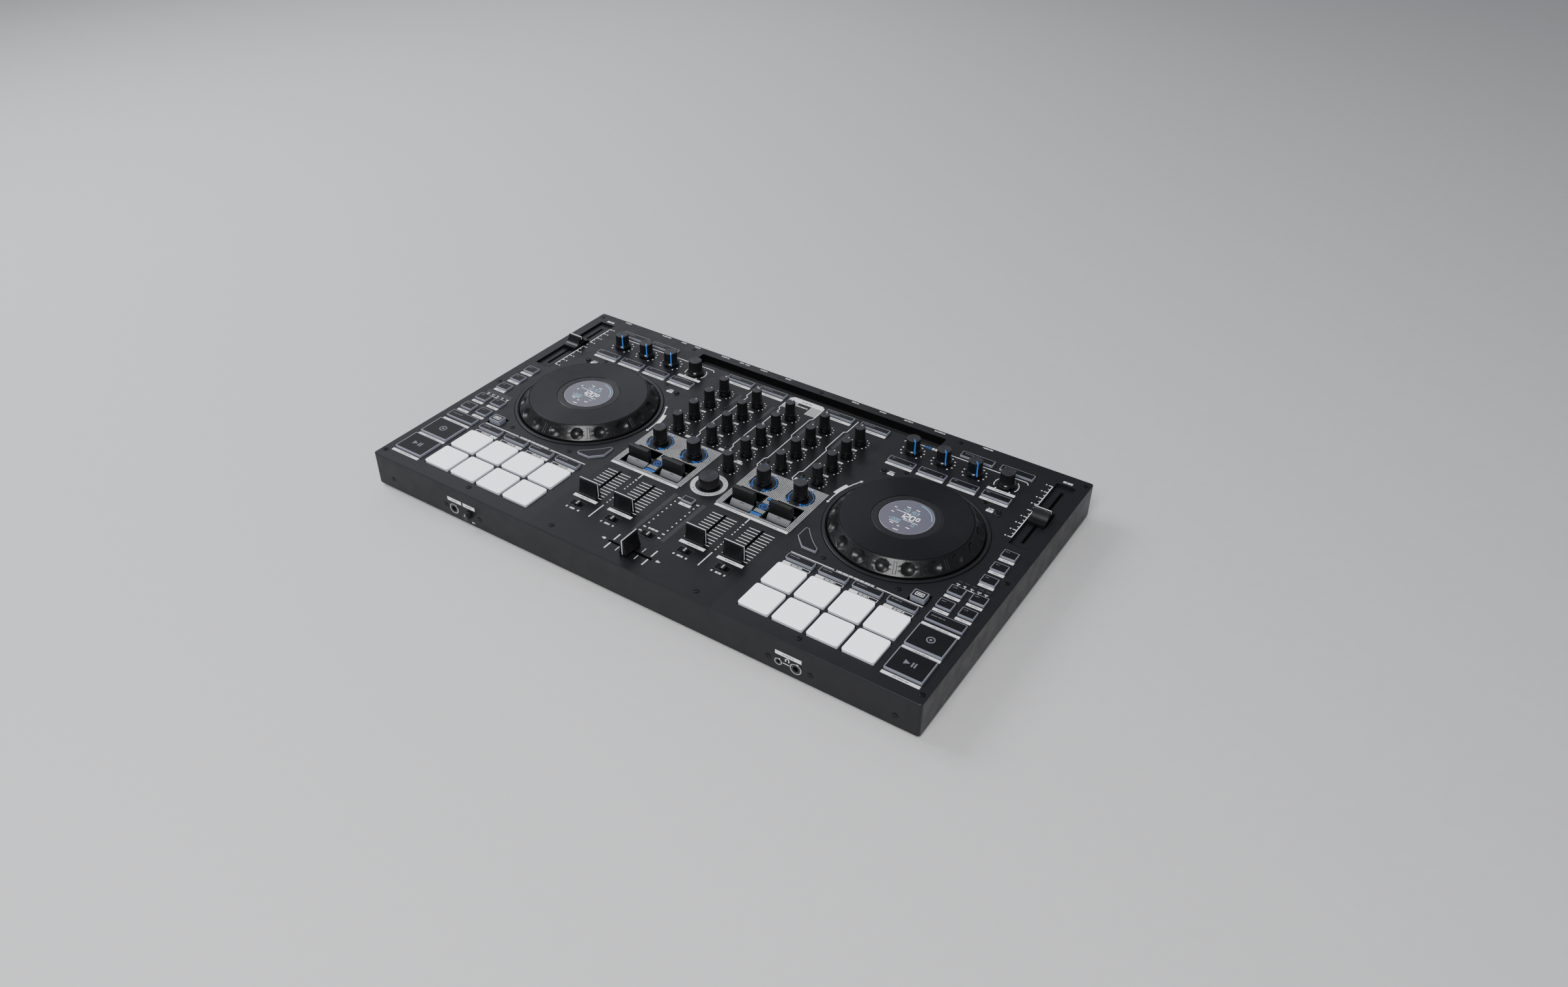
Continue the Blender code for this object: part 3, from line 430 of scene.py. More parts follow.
def add_arc(shape, x, y, radius, width, start, stop):
    """A printed arc between two angles in degrees, anticlockwise from +x."""
    steps = max(4, int(abs(stop - start) / 6))
    angles = [start + (stop - start) * k / steps for k in range(steps + 1)]
    points = [polar(radius + width / 2, angle, x, y) for angle in angles]
    points += [polar(radius - width / 2, angle, x, y) for angle in reversed(angles)]
    add_print(shape, points)


def add_ribbon(shape, path, width):
    """A printed line along a path."""
    for start, end in zip(map(Vector, path), map(Vector, path[1:])):
        along = (end - start).normalized()
        side = Vector((-along.y, along.x)) * width / 2
        tip = along * width / 4
        corners = (start - tip - side, end + tip - side, end + tip + side,
                   start - tip + side)
        add_print(shape, [tuple(corner) for corner in corners])


def add_frame(shape, x0, x1, y0, y1, width):
    """A printed box outline."""
    for a, b in ((y0, y0 + width), (y1 - width, y1)):
        add_mark(shape, x0, x1, a, b)
    for a, b in ((x0, x0 + width), (x1 - width, x1)):
        add_mark(shape, a, b, y0 + width, y1 - width)


def add_caption(shape, x, y, width, height, seed, finish=0, rise=PRINT_RISE):
    """A row of short plain strokes that stands where a caption would be; the seed is a
    whole number that varies their lengths."""
    left = x - width / 2
    number = seed
    while left < x + width / 2 - 0.4:
        number += 1
        stroke = 0.35 + 0.22 * (number * 7 % 4)
        end = min(left + stroke, x + width / 2)
        add_mark(shape, left, end, y - height / 2, y + height / 2, rise, finish)
        left = end + (0.95 if number * 5 % 6 == 0 else 0.28)


def add_label(shape, x, y, width, height, seed=0):
    """A white label bar with a dark caption: finish 0 is the bar, 1 the ink."""
    add_bar(shape, x, y, width, height)
    add_caption(shape, x, y, width * 0.42, height * 0.34, seed, 1, LABEL_RISE)


def add_blade(shape, profile, half, chamfer):
    """A profile in the y-z plane, anticlockwise as seen from +x, drawn out along x to
    either side."""
    small = inset(profile, chamfer)
    rings = [[(x, y, z) for y, z in points] for x, points in (
        (-half, small), (chamfer - half, profile), (half - chamfer, profile), (half, small))]
    add_loft(shape, rings)


def make_mesh(name, shape, finishes, angle=35.0):
    """A mesh in metres from a shape in millimetres."""
    bmesh.ops.recalc_face_normals(shape, faces=shape.faces[:])
    shape.transform(Matrix.Scale(MM, 4))
    for face in shape.faces:
        face.smooth = True
    for edge in shape.edges:
        levels = [abs(face.normal.z) > LEVEL for face in edge.link_faces]
        edge.smooth = (len(set(levels)) < 2
                       and edge.calc_face_angle(0.0) < math.radians(angle))
    mesh = bpy.data.meshes.new(name)
    shape.to_mesh(mesh)
    shape.free()
    for finish in finishes:
        mesh.materials.append(FINISHES[finish])
    return mesh


def put_piece(name, mesh, body, origin=(0.0, 0.0, 0.0), face="top", nodes=()):
    """Place a mesh on a face of the unit, riding on a body and standing for CAD nodes."""
    piece = bpy.data.objects.new(name, mesh)
    bpy.context.scene.collection.objects.link(piece)
    corner, turn = FACES[face]
    offset = Vector(origin) * MM
    offset.rotate(turn)
    piece.location = corner + offset
    piece.rotation_euler = turn
    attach(piece, body)
    if nodes:
        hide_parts(*nodes)
    return piece


def make_piece(name, shape, finishes, body="root", origin=(0.0, 0.0, 0.0),
               face="top", nodes=(), angle=35.0):
    """Turn a shape into a placed piece."""
    mesh = make_mesh(name, shape, finishes, angle)
    return put_piece(name, mesh, body, origin, face, nodes)


def node_spot(name):
    """Middle of a CAD node on the plate, in plate millimetres."""
    low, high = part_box(name)
    return ((low.x + high.x) / 2 / MM, ((low.y + high.y) / 2 - FRONT) / MM)


# ---- CAD nodes that are shown -----------------------------------------------
def dress_cad_nodes():
    """Procedural finishes for the CAD nodes whose own shape shows."""
    looks = {"top_plate": ("plate", "plate"), "bottom_case": ("case", "case"),
             "main_board": ("board", "board")}
    for node, (finish, slot) in looks.items():
        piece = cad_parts[node]
        piece.data.materials.clear()
        piece.data.materials.append(FINISHES[finish])


def make_feet():
    """Turned rubber feet with a screw well."""
    profile = ((0.2, 3.7), (10.9, 3.7), (11.0, 3.2), (10.8, 1.0), (9.9, 0.2), (9.2, 0.0),
               (5.2, 0.0), (4.8, 0.3), (4.4, 2.4), (0.2, 2.4))
    for end in ("front", "rear"):
        for _, side in DECKS:
            node = f"foot_{end}_{side}"
            shape = bmesh.new()
            add_turned(shape, profile, 48)
            x, y = node_spot(node)
            make_piece(node + "_rubber", shape, ["rubber"],
                       origin=(x, y, -TOP / MM), nodes=[node])


# ---- Key caps ---------------------------------------------------------------
KEY_SIZES = {"pad": (35.3, 35.3), "mode_key": (33.0, 9.5), "effect_key": (33.5, 10.0),
             "rear_key": (41.0, 10.5), "loop_key": (17.0, 13.0), "sync_key": (41.0, 13.0),
             "load_key": (38.0, 9.0), "round_key": (6.5, 6.5), "select_key": (30.2, 30.0),
             "shift_key": (16.3, 12.2)}
KEY_CORNERS = {"pad": 3.4, "mode_key": 2.2, "select_key": 2.0, "shift_key": 1.2}
KEY_ROOT = -1.6                     # underside of a key, down in the plate's opening


def read_key_caps():
    """Outline and height of each key cap on the CAD button mat, in plate millimetres."""
    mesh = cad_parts["button_mat"].data
    edges = set()
    heights = {}
    for face in mesh.polygons:
        if face.normal.z < 0.9 or face.center.z < TOP + MM:
            continue
        spots = []
        for index in face.vertices:
            point = mesh.vertices[index].co
            spot = (round(point.x / MM, 2), round((point.y - FRONT) / MM, 2))
            heights[spot] = (point.z - TOP) / MM
            spots.append(spot)
        for pair in zip(spots, spots[1:] + spots[:1]):
            if pair[::-1] in edges:
                edges.remove(pair[::-1])
            else:
                edges.add(pair)
    following = dict(sorted(edges))
    caps = []
    while following:
        start = min(following)
        outline = [start]
        here = following.pop(start)
        while here != start:
            outline.append(here)
            here = following.pop(here)
        caps.append((straighten(outline), heights[start]))
    return caps


def straighten(outline):
    """An outline without the points that lie on a straight edge."""
    kept = []
    for k, here in enumerate(outline):
        back = Vector(here) - Vector(outline[k - 1])
        on = Vector(outline[(k + 1) % len(outline)]) - Vector(here)
        if back.length > 0 and on.length > 0 and back.angle(on) > math.radians(2):
            kept.append(here)
    return kept


def sort_key_caps():
    """Key caps by kind and deck: centre, outline and height of each."""
    sets = {}
    for outline, height in read_key_caps():
        xs, ys = [p[0] for p in outline], [p[1] for p in outline]
        width, depth = max(xs) - min(xs), max(ys) - min(ys)
        kind = min(KEY_SIZES, key=lambda name: abs(KEY_SIZES[name][0] - width)
                   + abs(KEY_SIZES[name][1] - depth))
        centre = ((max(xs) + min(xs)) / 2, (max(ys) + min(ys)) / 2)
        deck = "left" if centre[0] < 0 else "right"
        sets.setdefault((kind, deck), []).append((centre, outline, height))
    return sets


def add_pad(shape, outline, height):
    """A lit rubber pad: walls with painted shade, a darker copy of the top's silicone, and a
    soft domed top.
    """
    soft = soften(outline, KEY_CORNERS["pad"], 6)
    add_stack(shape, soft, ((KEY_ROOT, 0.0), (height - 0.9, 0.0)), 1)
    add_stack(shape, soft, ((height - 0.95, 0.0), (height - 0.45, 0.12), (height - 0.15, 0.5),
                            (height, 1.3)), 0)


def add_key(shape, outline, height, corner, rim):
    """A translucent key with a smoked face let into its top."""
    soft = soften(outline, corner)
    add_stack(shape, soft, ((KEY_ROOT, 0.0), (height - 0.35, 0.0), (height - 0.1, 0.12),
                            (height, 0.35)), 0)
    face = soften(inset(outline, rim), corner * 0.6)
    add_stack(shape, face, ((height - 0.6, 0.0), (height + 0.02, 0.0), (height + 0.08, 0.1)), 1)


def add_key_caption(shape, kind, centre, height, number):
    """Faint strokes where a key's own caption is lit."""
    x, y = centre
    rise = height + 0.12
    width = KEY_SIZES[kind][0]
    rows = []
    if kind == "shift_key":
        add_lit_frame(shape, x, y, 9.6, 5.2, 0.7, rise)
    elif kind == "effect_key":
        rows = [(-11.2, 1.8, 4.2, 1.3)]
        if number % 4 < 3:
            rows.append((12.0, -1.6, 3.0, 1.5))
    elif kind in ("mode_key", "rear_key", "load_key", "sync_key"):
        rows = [(-width * 0.22, 1.0, width * 0.36, 1.3)]
    elif kind == "loop_key":
        rows = [(-3.4, 2.6, 4.6, 1.2)]
    for row, (dx, dy, length, depth) in enumerate(rows):
        add_caption(shape, x + dx, y + dy, length, depth, number + 3 * row, 3, rise)


def add_lit_frame(shape, x, y, width, depth, line, rise):
    """A lit box outline with a bar in it, on a key's face."""
    bars = [(0.0, 0.0, width * 0.62, depth * 0.26)]
    for side in (-1, 1):
        bars.append((0.0, side * (depth - line) / 2, width, line))
        bars.append((side * (width - line) / 2, 0.0, line, depth - 2 * line))
    for dx, dy, wide, deep in bars:
        add_prism(shape, block(x + dx, y + dy, wide, deep), rise - 0.2, rise, 2)


def add_round_key(shape, centre, height):
    """A small round silver-edged key in a raised collar."""
    x, y = centre
    add_turned(shape, ((3.45, KEY_ROOT), (3.45, height - 0.5), (3.1, height),
                       (1.9, height), (1.7, height - 0.25), (0.2, height - 0.3)), 32, x, y, 1)
    add_turned(shape, ((4.2, -0.1), (4.2, 0.35), (4.0, 0.5), (3.7, 0.5), (3.7, -0.1)),
               32, x, y, closed=True)


def make_keys():
    """Every key of the button mat, one piece for each kind and deck."""
    for (kind, deck), caps in sorted(sort_key_caps().items()):
        shape = bmesh.new()
        finishes = ["key_body", "key_face", "white", "grey"]
        for number, (centre, outline, height) in enumerate(sorted(caps)):
            if kind == "pad":
                add_pad(shape, outline, height)
                finishes = ["pad", "pad_wall_painted_shade"]
            elif kind == "round_key":
                add_round_key(shape, centre, height)
                finishes = ["collar", "key_face"]
            else:
                rim = 1.3 if kind == "shift_key" else 0.95
                add_key(shape, outline, height, KEY_CORNERS.get(kind, 0.9), rim)
                add_key_caption(shape, kind, centre, height, number)
        make_piece(f"{kind}s_{deck}", shape, finishes, nodes=["button_mat"])


# ---- Play and cue buttons ---------------------------------------------------
BUTTON_SIZE = (41.0, 33.0)
BUTTON_RIM = 1.2


def add_button_symbol(shape, kind, low, high):
    """A triangle and two bars for play, a ring and a dot for cue."""
    if kind == "play":
        add_prism(shape, [(-7.2, -3.2), (-1.0, 0.0), (-7.2, 3.2)], low, high, 2)
        for left in (1.6, 4.6):
            add_prism(shape, block(left, 0.0, 1.7, 6.4), low, high, 2)
    else:
        add_turned(shape, ((4.6, low), (4.6, high), (3.3, high), (3.3, low)), 40,
                   closed=True, finish=2)
        add_prism(shape, circle(0.0, 0.0, 1.5, 24), low, high, 2)


def make_transport_buttons():
    """Broad translucent buttons with a smoked face and a plain symbol."""
    width, depth = BUTTON_SIZE
    body = soften(block(0, 0, width, depth), 1.2)
    face = soften(block(0, 0, width - 2 * BUTTON_RIM, depth - 2 * BUTTON_RIM), 0.6)
    for _, deck in DECKS:
        for kind in ("play", "cue"):
            node = f"{kind}_button_{deck}"
            x, y = node_spot(node)
            top = (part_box(node)[1].z - TOP) / MM
            shape = bmesh.new()
            add_stack(shape, body, ((-2.0, 0.0), (top - 0.4, 0.0), (top - 0.1, 0.15),
                                    (top, 0.4)), 0)
            add_stack(shape, face, ((top - 0.8, 0.0), (top + 0.02, 0.0),
                                    (top + 0.08, 0.12)), 1)
            add_button_symbol(shape, kind, top - 0.2, top + 0.13)
            make_piece(node + "_cap", shape, ["key_body", "key_face", "button_mark"],
                       body=node, origin=(x, y, 0.0), nodes=[node])


# ---- Jog wheels -------------------------------------------------------------
JOG_SKIRT_RADIUS = 84.1
RIM_FOOT = Vector((84.0, 2.3))      # radius and height of the cone's lower edge
RIM_HEAD = Vector((72.7, 14.6))     # and of its upper edge
RIM_SLOPE = (RIM_HEAD - RIM_FOOT).length
RIM_RADIUS = 80.0                   # where lengths along the rim are measured
DIMPLES = 18
DIMPLE_PITCH = 2 * math.pi * RIM_RADIUS / DIMPLES
DIMPLE_HALF = (7.7, 7.0)            # half its length along the rim and up the slope
DIMPLE_DEPTH = 2.8
DIMPLE_STEPS = 14
GROOVE_HALF = 1.5
GROOVE_DEPTH = 0.16
GROOVE_ENDS = (2.3, 14.4)           # how far up the slope it starts and stops
GROOVE_EDGES = (-0.25, 0.0, 0.25)   # a groove's section, across its line
DISC_RADIUS = 71.6
HUB_RING_RADIUS = 37.6
JOG_BORE = 30.45


def rim_columns():
    """Angles round the rim, close together where a dimple or a groove needs them, each
    with its distance along the rim from the groove's middle."""
    offsets = [DIMPLE_HALF[0] * (2 * k / DIMPLE_STEPS - 1) for k in range(DIMPLE_STEPS + 1)]
    for side in (-GROOVE_HALF, GROOVE_HALF):
        offsets += [DIMPLE_PITCH / 2 + side + shift for shift in GROOVE_EDGES]
    return [((sector * DIMPLE_PITCH + offset) / RIM_RADIUS, offset - DIMPLE_PITCH / 2)
            for sector in range(DIMPLES) for offset in offsets]


def rim_rows():
    """Distances up the rim's slope."""
    rows = {0.0, RIM_SLOPE}
    rows.update(RIM_SLOPE / 2 + DIMPLE_HALF[1] * (2 * k / DIMPLE_STEPS - 1)
                for k in range(DIMPLE_STEPS + 1))
    rows.update(end + shift for end in GROOVE_ENDS for shift in GROOVE_EDGES)
    return sorted(rows)


def rim_hollow(across, up):
    """How deep the rim is hollowed: a round dimple, or the line of a pill-shaped groove."""
    reach = math.hypot((across + DIMPLE_PITCH / 2) / DIMPLE_HALF[0],
                       (up - RIM_SLOPE / 2) / DIMPLE_HALF[1])
    if reach < 1.0:
        return DIMPLE_DEPTH * (1.0 - reach ** 2)
    low, high = GROOVE_ENDS
    on_side = abs(abs(across) - GROOVE_HALF) < 0.01 and low <= up <= high
    on_end = min(abs(up - low), abs(up - high)) < 0.01 and abs(across) <= GROOVE_HALF
    return GROOVE_DEPTH if on_side or on_end else 0.0


def make_jog_rim(deck, node, x, y):
    """The glossy cone that the hand turns, with its dimples and grooves."""
    along = (RIM_HEAD - RIM_FOOT) / RIM_SLOPE
    normal = Vector((along.y, -along.x))
    columns = rim_columns()
    rings = []

    def add_rings(*profile):
        for radius, z in profile:
            rings.append([(radius * math.cos(a), radius * math.sin(a), z)
                          for a, _ in columns])

    add_rings((77.0, -1.5), (83.3, -1.5), (JOG_SKIRT_RADIUS, -0.9), (JOG_SKIRT_RADIUS, 1.7))
    for up in rim_rows():
        ring = []
        for angle, across in columns:
            spot = RIM_FOOT + along * up - normal * rim_hollow(across, up)
            ring.append((spot.x * math.cos(angle), spot.x * math.sin(angle), spot.y))
        rings.append(ring)
    add_rings((72.3, 15.0), (72.0, 15.05), (71.8, 14.6), (71.8, 12.0))
    shape = bmesh.new()
    add_loft(shape, rings, closed=True)
    make_piece(f"jog_rim_{deck}", shape, ["rim"], node, (x, y, 0),
               nodes=[node], angle=28)


def make_jog_disc(deck, node, x, y):
    """The flat record-like top, and the darker ring inside it."""
    edge = HUB_RING_RADIUS
    disc = ((DISC_RADIUS, 12.5), (DISC_RADIUS, 14.8), (DISC_RADIUS - 0.25, 15.15),
            (DISC_RADIUS - 0.7, 15.3), (edge + 0.9, 15.3), (edge + 0.3, 15.05),
            (edge + 0.3, 12.5))
    ring = ((edge + 0.2, 12.5), (edge + 0.2, 14.9), (edge - 0.4, 15.15),
            (JOG_BORE + 0.5, 15.15), (JOG_BORE, 14.8), (JOG_BORE, 12.5))
    for name, profile, sides, finish in (("disc", disc, ROUND, "vinyl"),
                                         ("hub_ring", ring, 128, "hub")):
        shape = bmesh.new()
        add_turned(shape, profile, sides, closed=True)
        make_piece(f"jog_{name}_{deck}", shape, [finish], node, (x, y, 0),
                   nodes=[node])


def make_jog_bezel(deck, x, y):
    """The raised ring on the plate round a jog wheel, with painted shade beside it: its inner
    wall and a thin ring outside it are near black.
    """
    shape = bmesh.new()
    for finish, profile in (
            (0, ((86.3, -0.2), (86.3, 0.9), (86.7, 1.15), (89.4, 1.15), (89.9, 0.85),
                 (90.1, -0.2))),
            # finish 1, near black: painted shade on the inner wall by the rim and in a thin ring
            # on the plate outside the bezel
            (1, ((84.7, -2.5), (84.7, 0.2), (86.3, 0.9), (86.3, -0.5), (85.6, -0.5),
                 (85.6, -2.5))),
            (1, ((90.1, -0.05), (90.1, 0.10), (91.0, 0.05), (91.0, -0.05)))):
        add_turned(shape, profile, ROUND, closed=True, finish=finish)
    make_piece(f"jog_bezel_{deck}", shape, ["bezel", "gap"], origin=(x, y, 0))


# ---- Displays ---------------------------------------------------------------
LIT_LOW, LIT_HIGH = 14.85, 15.0     # the lit layer of a display
SEGMENTS = {"0": "abcdef", "1": "bc", "2": "abdeg", "3": "abcdg", "5": "acdfg", "-": "g",
            "+": "gm"}


def add_digit(shape, sign, x, y, width, height, line, finish):
    """A seven-segment figure whose lower left corner is given."""
    half = height / 2
    bars = {"a": (0, height, width, height), "g": (0, half, width, half),
            "d": (0, 0, width, 0), "b": (width, half, width, height),
            "c": (width, 0, width, half), "f": (0, half, 0, height), "e": (0, 0, 0, half),
            "m": (width / 2, height * 0.25, width / 2, height * 0.75)}
    for name in SEGMENTS[sign]:
        x0, y0, x1, y1 = bars[name]
        gap = line * 0.62
        if y0 == y1:
            points = block(x + (x0 + x1) / 2, y + y0, width - gap, line)
        else:
            points = block(x + x0, y + (y0 + y1) / 2, line, y1 - y0 - gap)
        add_prism(shape, points, LIT_LOW, LIT_HIGH, finish)


def add_figures(shape, text, x, y, width, height, line, finish):
    """A row of seven-segment figures and dots."""
    for sign in text:
        if sign == ".":
            dot = block(x - line * 1.1, y, line, line)
            add_prism(shape, dot, LIT_LOW, LIT_HIGH, finish)
        else:
            add_digit(shape, sign, x, y, width, height, line, finish)
            x += width + line * 2.2


def make_display(deck, x, y):
    """The lit display in the middle of a jog wheel, with figures and plain strokes."""
    shape = bmesh.new()
    add_turned(shape, ((0.4, 14.72), (29.9, 14.72), (29.9, 14.9), (0.4, 14.9)), 128)
    add_turned(shape, ((28.5, 14.8), (28.5, 14.95), (29.0, 15.1), (29.7, 15.1), (30.0, 14.9),
                       (30.0, 14.8)), 128, closed=True, finish=1)
    make_piece(f"jog_display_{deck}", shape, ["screen", "lens_rim"],
               origin=(x, y, 0))

    marks = bmesh.new()
    for text, left, low, width, height, line, finish in (
            ("120", -8.6, -3.2, 4.4, 7.8, 0.85, 0), ("0", 10.8, -0.6, 3.0, 5.0, 0.75, 0),
            ("-0153", -9.0, 8.2, 2.6, 4.6, 0.55, 1), ("+00.0", -16.5, -11.8, 2.4, 4.2, 0.55, 1),
            ("0", 10.5, -11.6, 2.6, 4.2, 0.5, 1)):
        add_figures(marks, text, left, low, width, height, line, finish)
    strokes = [(5.9, -15.5, 2.0, 0.28), (-5.6, -2.0, 15.5, 0.28), (-13.8, -14.0, -3.0, 0.28)]
    for left, middle, count in ((-8.0, 16.2, 3), (3.0, 16.2, 3), (-19.5, 9.5, 2),
                                (-19.0, 1.0, 2), (-11.5, -16.6, 3), (-2.0, -18.2, 2),
                                (7.5, -16.4, 3), (-3.0, -25.0, 4)):
        strokes += [(middle, left + 1.5 * k, left + 1.5 * k + 1.0, 0.9) for k in range(count)]
    for middle, x0, x1, depth in strokes:
        stroke = block((x0 + x1) / 2, middle, x1 - x0, depth)
        add_prism(marks, stroke, LIT_LOW, LIT_HIGH)
    for k in range(22):
        dot = circle(*polar(26.4, 18 + 3.0 * k), 0.62, 6)
        add_prism(marks, dot, LIT_LOW, LIT_HIGH, 1)
    make_piece(f"jog_figures_{deck}", marks, ["digit_white", "digit_cyan"],
               origin=(x, y, 0))


def make_jogs():
    """Rim, disc, bezel and display of both decks."""
    for _, deck in DECKS:
        node = f"jog_wheel_{deck}"
        x, y = node_spot(node)
        make_jog_rim(deck, node, x, y)
        make_jog_disc(deck, node, x, y)
        make_jog_bezel(deck, x, y)
        make_display(deck, x, y)


# ---- Knobs ------------------------------------------------------------------
KNOB_KINDS = {  # base radius, tip radius, height, skirt height, flutes, top finish
    "eq": (7.6, 6.1, 23.0, 7.6, 16, "knob_top"),
    "filter": (9.5, 8.0, 21.5, 6.6, 20, "knob_top"),
    "effect": (10.5, 8.3, 19.0, 5.4, 20, "knob_top"),
    "browse": (12.2, 11.6, 13.0, 2.2, 32, "brushed"),
}
KNOB_LINES = {  # angle from +x, width, inner end, lower end, finish, slot
    "effect": (-50.0, 1.5, 3.0, 3.2, "painted_glow_blue", "print_blue"),
    "master": (90.0, 1.3, 3.4, 18.8, "pointer", "print_white"),
    "filter": (90.0, 1.2, 5.6, 18.5, "blue", "print_blue"),
    "eq": (90.0, 0.9, 4.2, 19.8, "pointer", "print_white"),
}
MASTER_KNOBS = ("knob_master", "knob_booth", "knob_cue_mix", "knob_phones", "knob_sampler")
FLUTE_DEPTH = 0.42


def fluted_ring(radius, z, flutes, depth):
    """A ring whose radius dips once for each flute."""
    count = flutes * 6
    ring = []
    for k in range(count):
        angle = 2 * math.pi * k / count
        dip = depth * (0.5 - 0.5 * math.cos(flutes * angle)) ** 2
        ring.append(((radius - dip) * math.cos(angle), (radius - dip) * math.sin(angle), z))
    return ring


def knob_mesh(kind):
    """A knob with a smooth skirt, a fluted grip and a flat satin top."""
    base, tip, height, skirt, flutes, top = KNOB_KINDS[kind]
    waist = tip + 0.25
    levels = ((base - 0.6, 0.8, 0, 0), (base - 0.15, 1.1, 0, 0), (base, 1.8, 0, 0),
              (base - 0.1, skirt * 0.55, 0, 0), (base - 0.45, skirt * 0.8, 0, 0),
              (waist + 0.35, skirt * 0.96, 0, 0), (waist, skirt + 0.6, 0.1, 1),
              (waist - 0.05, skirt + 1.4, 1, 1), (tip, height - 1.0, 1, 1),
              (tip - 0.15, height - 0.35, 0.9, 1), (tip - 0.5, height - 0.05, 0.6, 2),
              (tip - 0.9, height, 0.2, 2), (1.2, height, 0, 2), (0.9, height - 0.15, 0, 2))
    shape = bmesh.new()
    rings = [fluted_ring(radius, z, flutes, FLUTE_DEPTH * share)
             for radius, z, share, _ in levels]
    add_loft(shape, rings, finishes=[finish for _, _, _, finish in levels[1:]])
    return make_mesh(f"knob_{kind}_body", shape, ["skirt", "knob", top], angle=40)


def add_knob_line(shape, kind, angle, width, start, low):
    """A line that runs out over the top and down the grip, at an angle from +x."""
    base, tip, height, skirt, _, _ = KNOB_KINDS[kind]
    outer = [(start, height + 0.10), (tip - 0.5, height + 0.10), (tip + 0.12, height - 0.7)]
    if low <= skirt:
        outer += [(tip + 0.35, skirt + 1.2), (base - 0.2, skirt * 0.72)]
    outer.append((tip + 0.2 if low > skirt else base + 0.06, low))
    turn = Matrix.Rotation(math.radians(angle), 3, "Z")
    rings = []
    for side in (-width / 2, width / 2):
        inner = [(r - 0.7, z - (0.5 if r < tip - 1 else 0.0)) for r, z in reversed(outer)]
        rings.append([tuple(turn @ Vector((r, side, z))) for r, z in outer + inner])
    add_loft(shape, rings)


def knob_kinds(node):
    """Kinds of a knob's body and of its line; an endless knob has no line."""
    if "browse" in node:
        return "browse", None
    if "_fx_" in node:
        return "effect", None if node.endswith("_4") else "effect"
    if "filter" in node:
        return "filter", "filter"
    return "eq", "master" if "gain" in node or node in MASTER_KNOBS else "eq"


def make_knobs():
    """Every rotary knob on the plate, with its pointer where it has one."""
    bodies = {kind: knob_mesh(kind) for kind in KNOB_KINDS}
    for node in sorted(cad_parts):
        if not node.startswith(("knob_", "browse")):
            continue
        kind, line = knob_kinds(node)
        x, y = node_spot(node)
        put_piece(node + "_grip", bodies[kind], node, (x, y, 0), nodes=[node])
        if line:
            angle, width, start, low, finish, slot = KNOB_LINES[line]
            shape = bmesh.new()
            add_knob_line(shape, kind, angle, width, start, low)
            make_piece(node + "_line", shape, [finish], node, (x, y, 0))


def make_curve_knob():
    """The small knurled knob on the front face."""
    low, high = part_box("curve_knob")
    x = (low.x + high.x) / 2 / MM
    y = ((low.z + high.z) / 2 - TOP) / MM
    levels = ((4.9, 0.35, 0), (4.95, 0.9, 0), (4.85, 1.3, 1), (4.5, 5.2, 1), (4.2, 5.75, 1),
              (3.6, 5.95, 0), (1.0, 5.95, 0))
    shape = bmesh.new()
    add_loft(shape, [fluted_ring(radius, z, 14, 0.3 * share) for radius, z, share in levels])
    make_piece("curve_knob_grip", shape, ["knob"], "curve_knob", (x, y, 0), "front",
               nodes=["curve_knob"])
    line = bmesh.new()
    add_prism(line, block(0, 2.6, 0.8, 2.6), 5.7, 6.0)
    make_piece("curve_knob_line", line, ["pointer"], "curve_knob", (x, y, 0),
               "front")


# ---- Faders -----------------------------------------------------------------
CAP_SIDE = ((5.0, 1.0), (5.0, 2.8), (4.75, 3.4), (4.1, 5.2), (3.3, 8.2), (2.6, 11.8),
            (2.15, 15.4), (1.95, 18.6), (1.7, 19.6), (1.2, 19.95))
TEMPO_SIDE = ((14.0, -2.0), (14.0, 1.6), (13.4, 2.6), (12.2, 2.9), (10.8, 2.4), (8.6, 3.0),
              (6.2, 5.2), (4.0, 8.4), (2.3, 11.4), (1.6, 12.4), (0.9, 12.75))
CAP_KINDS = {  # side, half length, chamfer, width of the line, its lower end
    "mixer": (CAP_SIDE, 12.15, 0.45, 0.95, 2.2),
    "tempo": (TEMPO_SIDE, 9.75, 0.4, 1.2, 9.0),
}


def cap_profile(side):
    """Both sides of a fader cap's section, anticlockwise as seen from +x."""
    return list(side) + [(-y, z) for y, z in reversed(side)]


def add_cap_lines(shape, side, half, width, low):
    """The white line along the crest, and down the middle of both ends."""
    top = side[-1][1]
    add_prism(shape, block(0, 0, 2 * half + 0.1, width), top - 0.3, top + 0.08)
    for end in (-1, 1):
        add_prism(shape, block(end * (half - 0.12), 0, 0.36, width), low, top - 0.1)


def make_fader_cap(node, kind, turn=0.0):
    """One fader's cap and its line."""
    side, half, chamfer, width, low = CAP_KINDS[kind]
    x, y = node_spot(node)
    body, lines = bmesh.new(), bmesh.new()
    add_blade(body, cap_profile(side), half, chamfer)
    add_cap_lines(lines, side, half, width, low)
    for shape in (body, lines):
        shape.transform(Matrix.Rotation(turn, 4, "Z"))
    make_piece(node + "_cap", body, ["cap"], node, (x, y, 0), nodes=[node],
               angle=40)
    make_piece(node + "_line", lines, ["pointer"], node, (x, y, 0))


def make_fader_caps():
    """Concave caps on the mixer's faders, long low ones on the tempo faders."""
    for index in CHANNELS:
        make_fader_cap(f"channel_fader_{index}", "mixer")
    make_fader_cap("crossfader", "mixer", math.pi / 2)
    for _, deck in DECKS:
        make_fader_cap(f"tempo_fader_{deck}", "tempo")


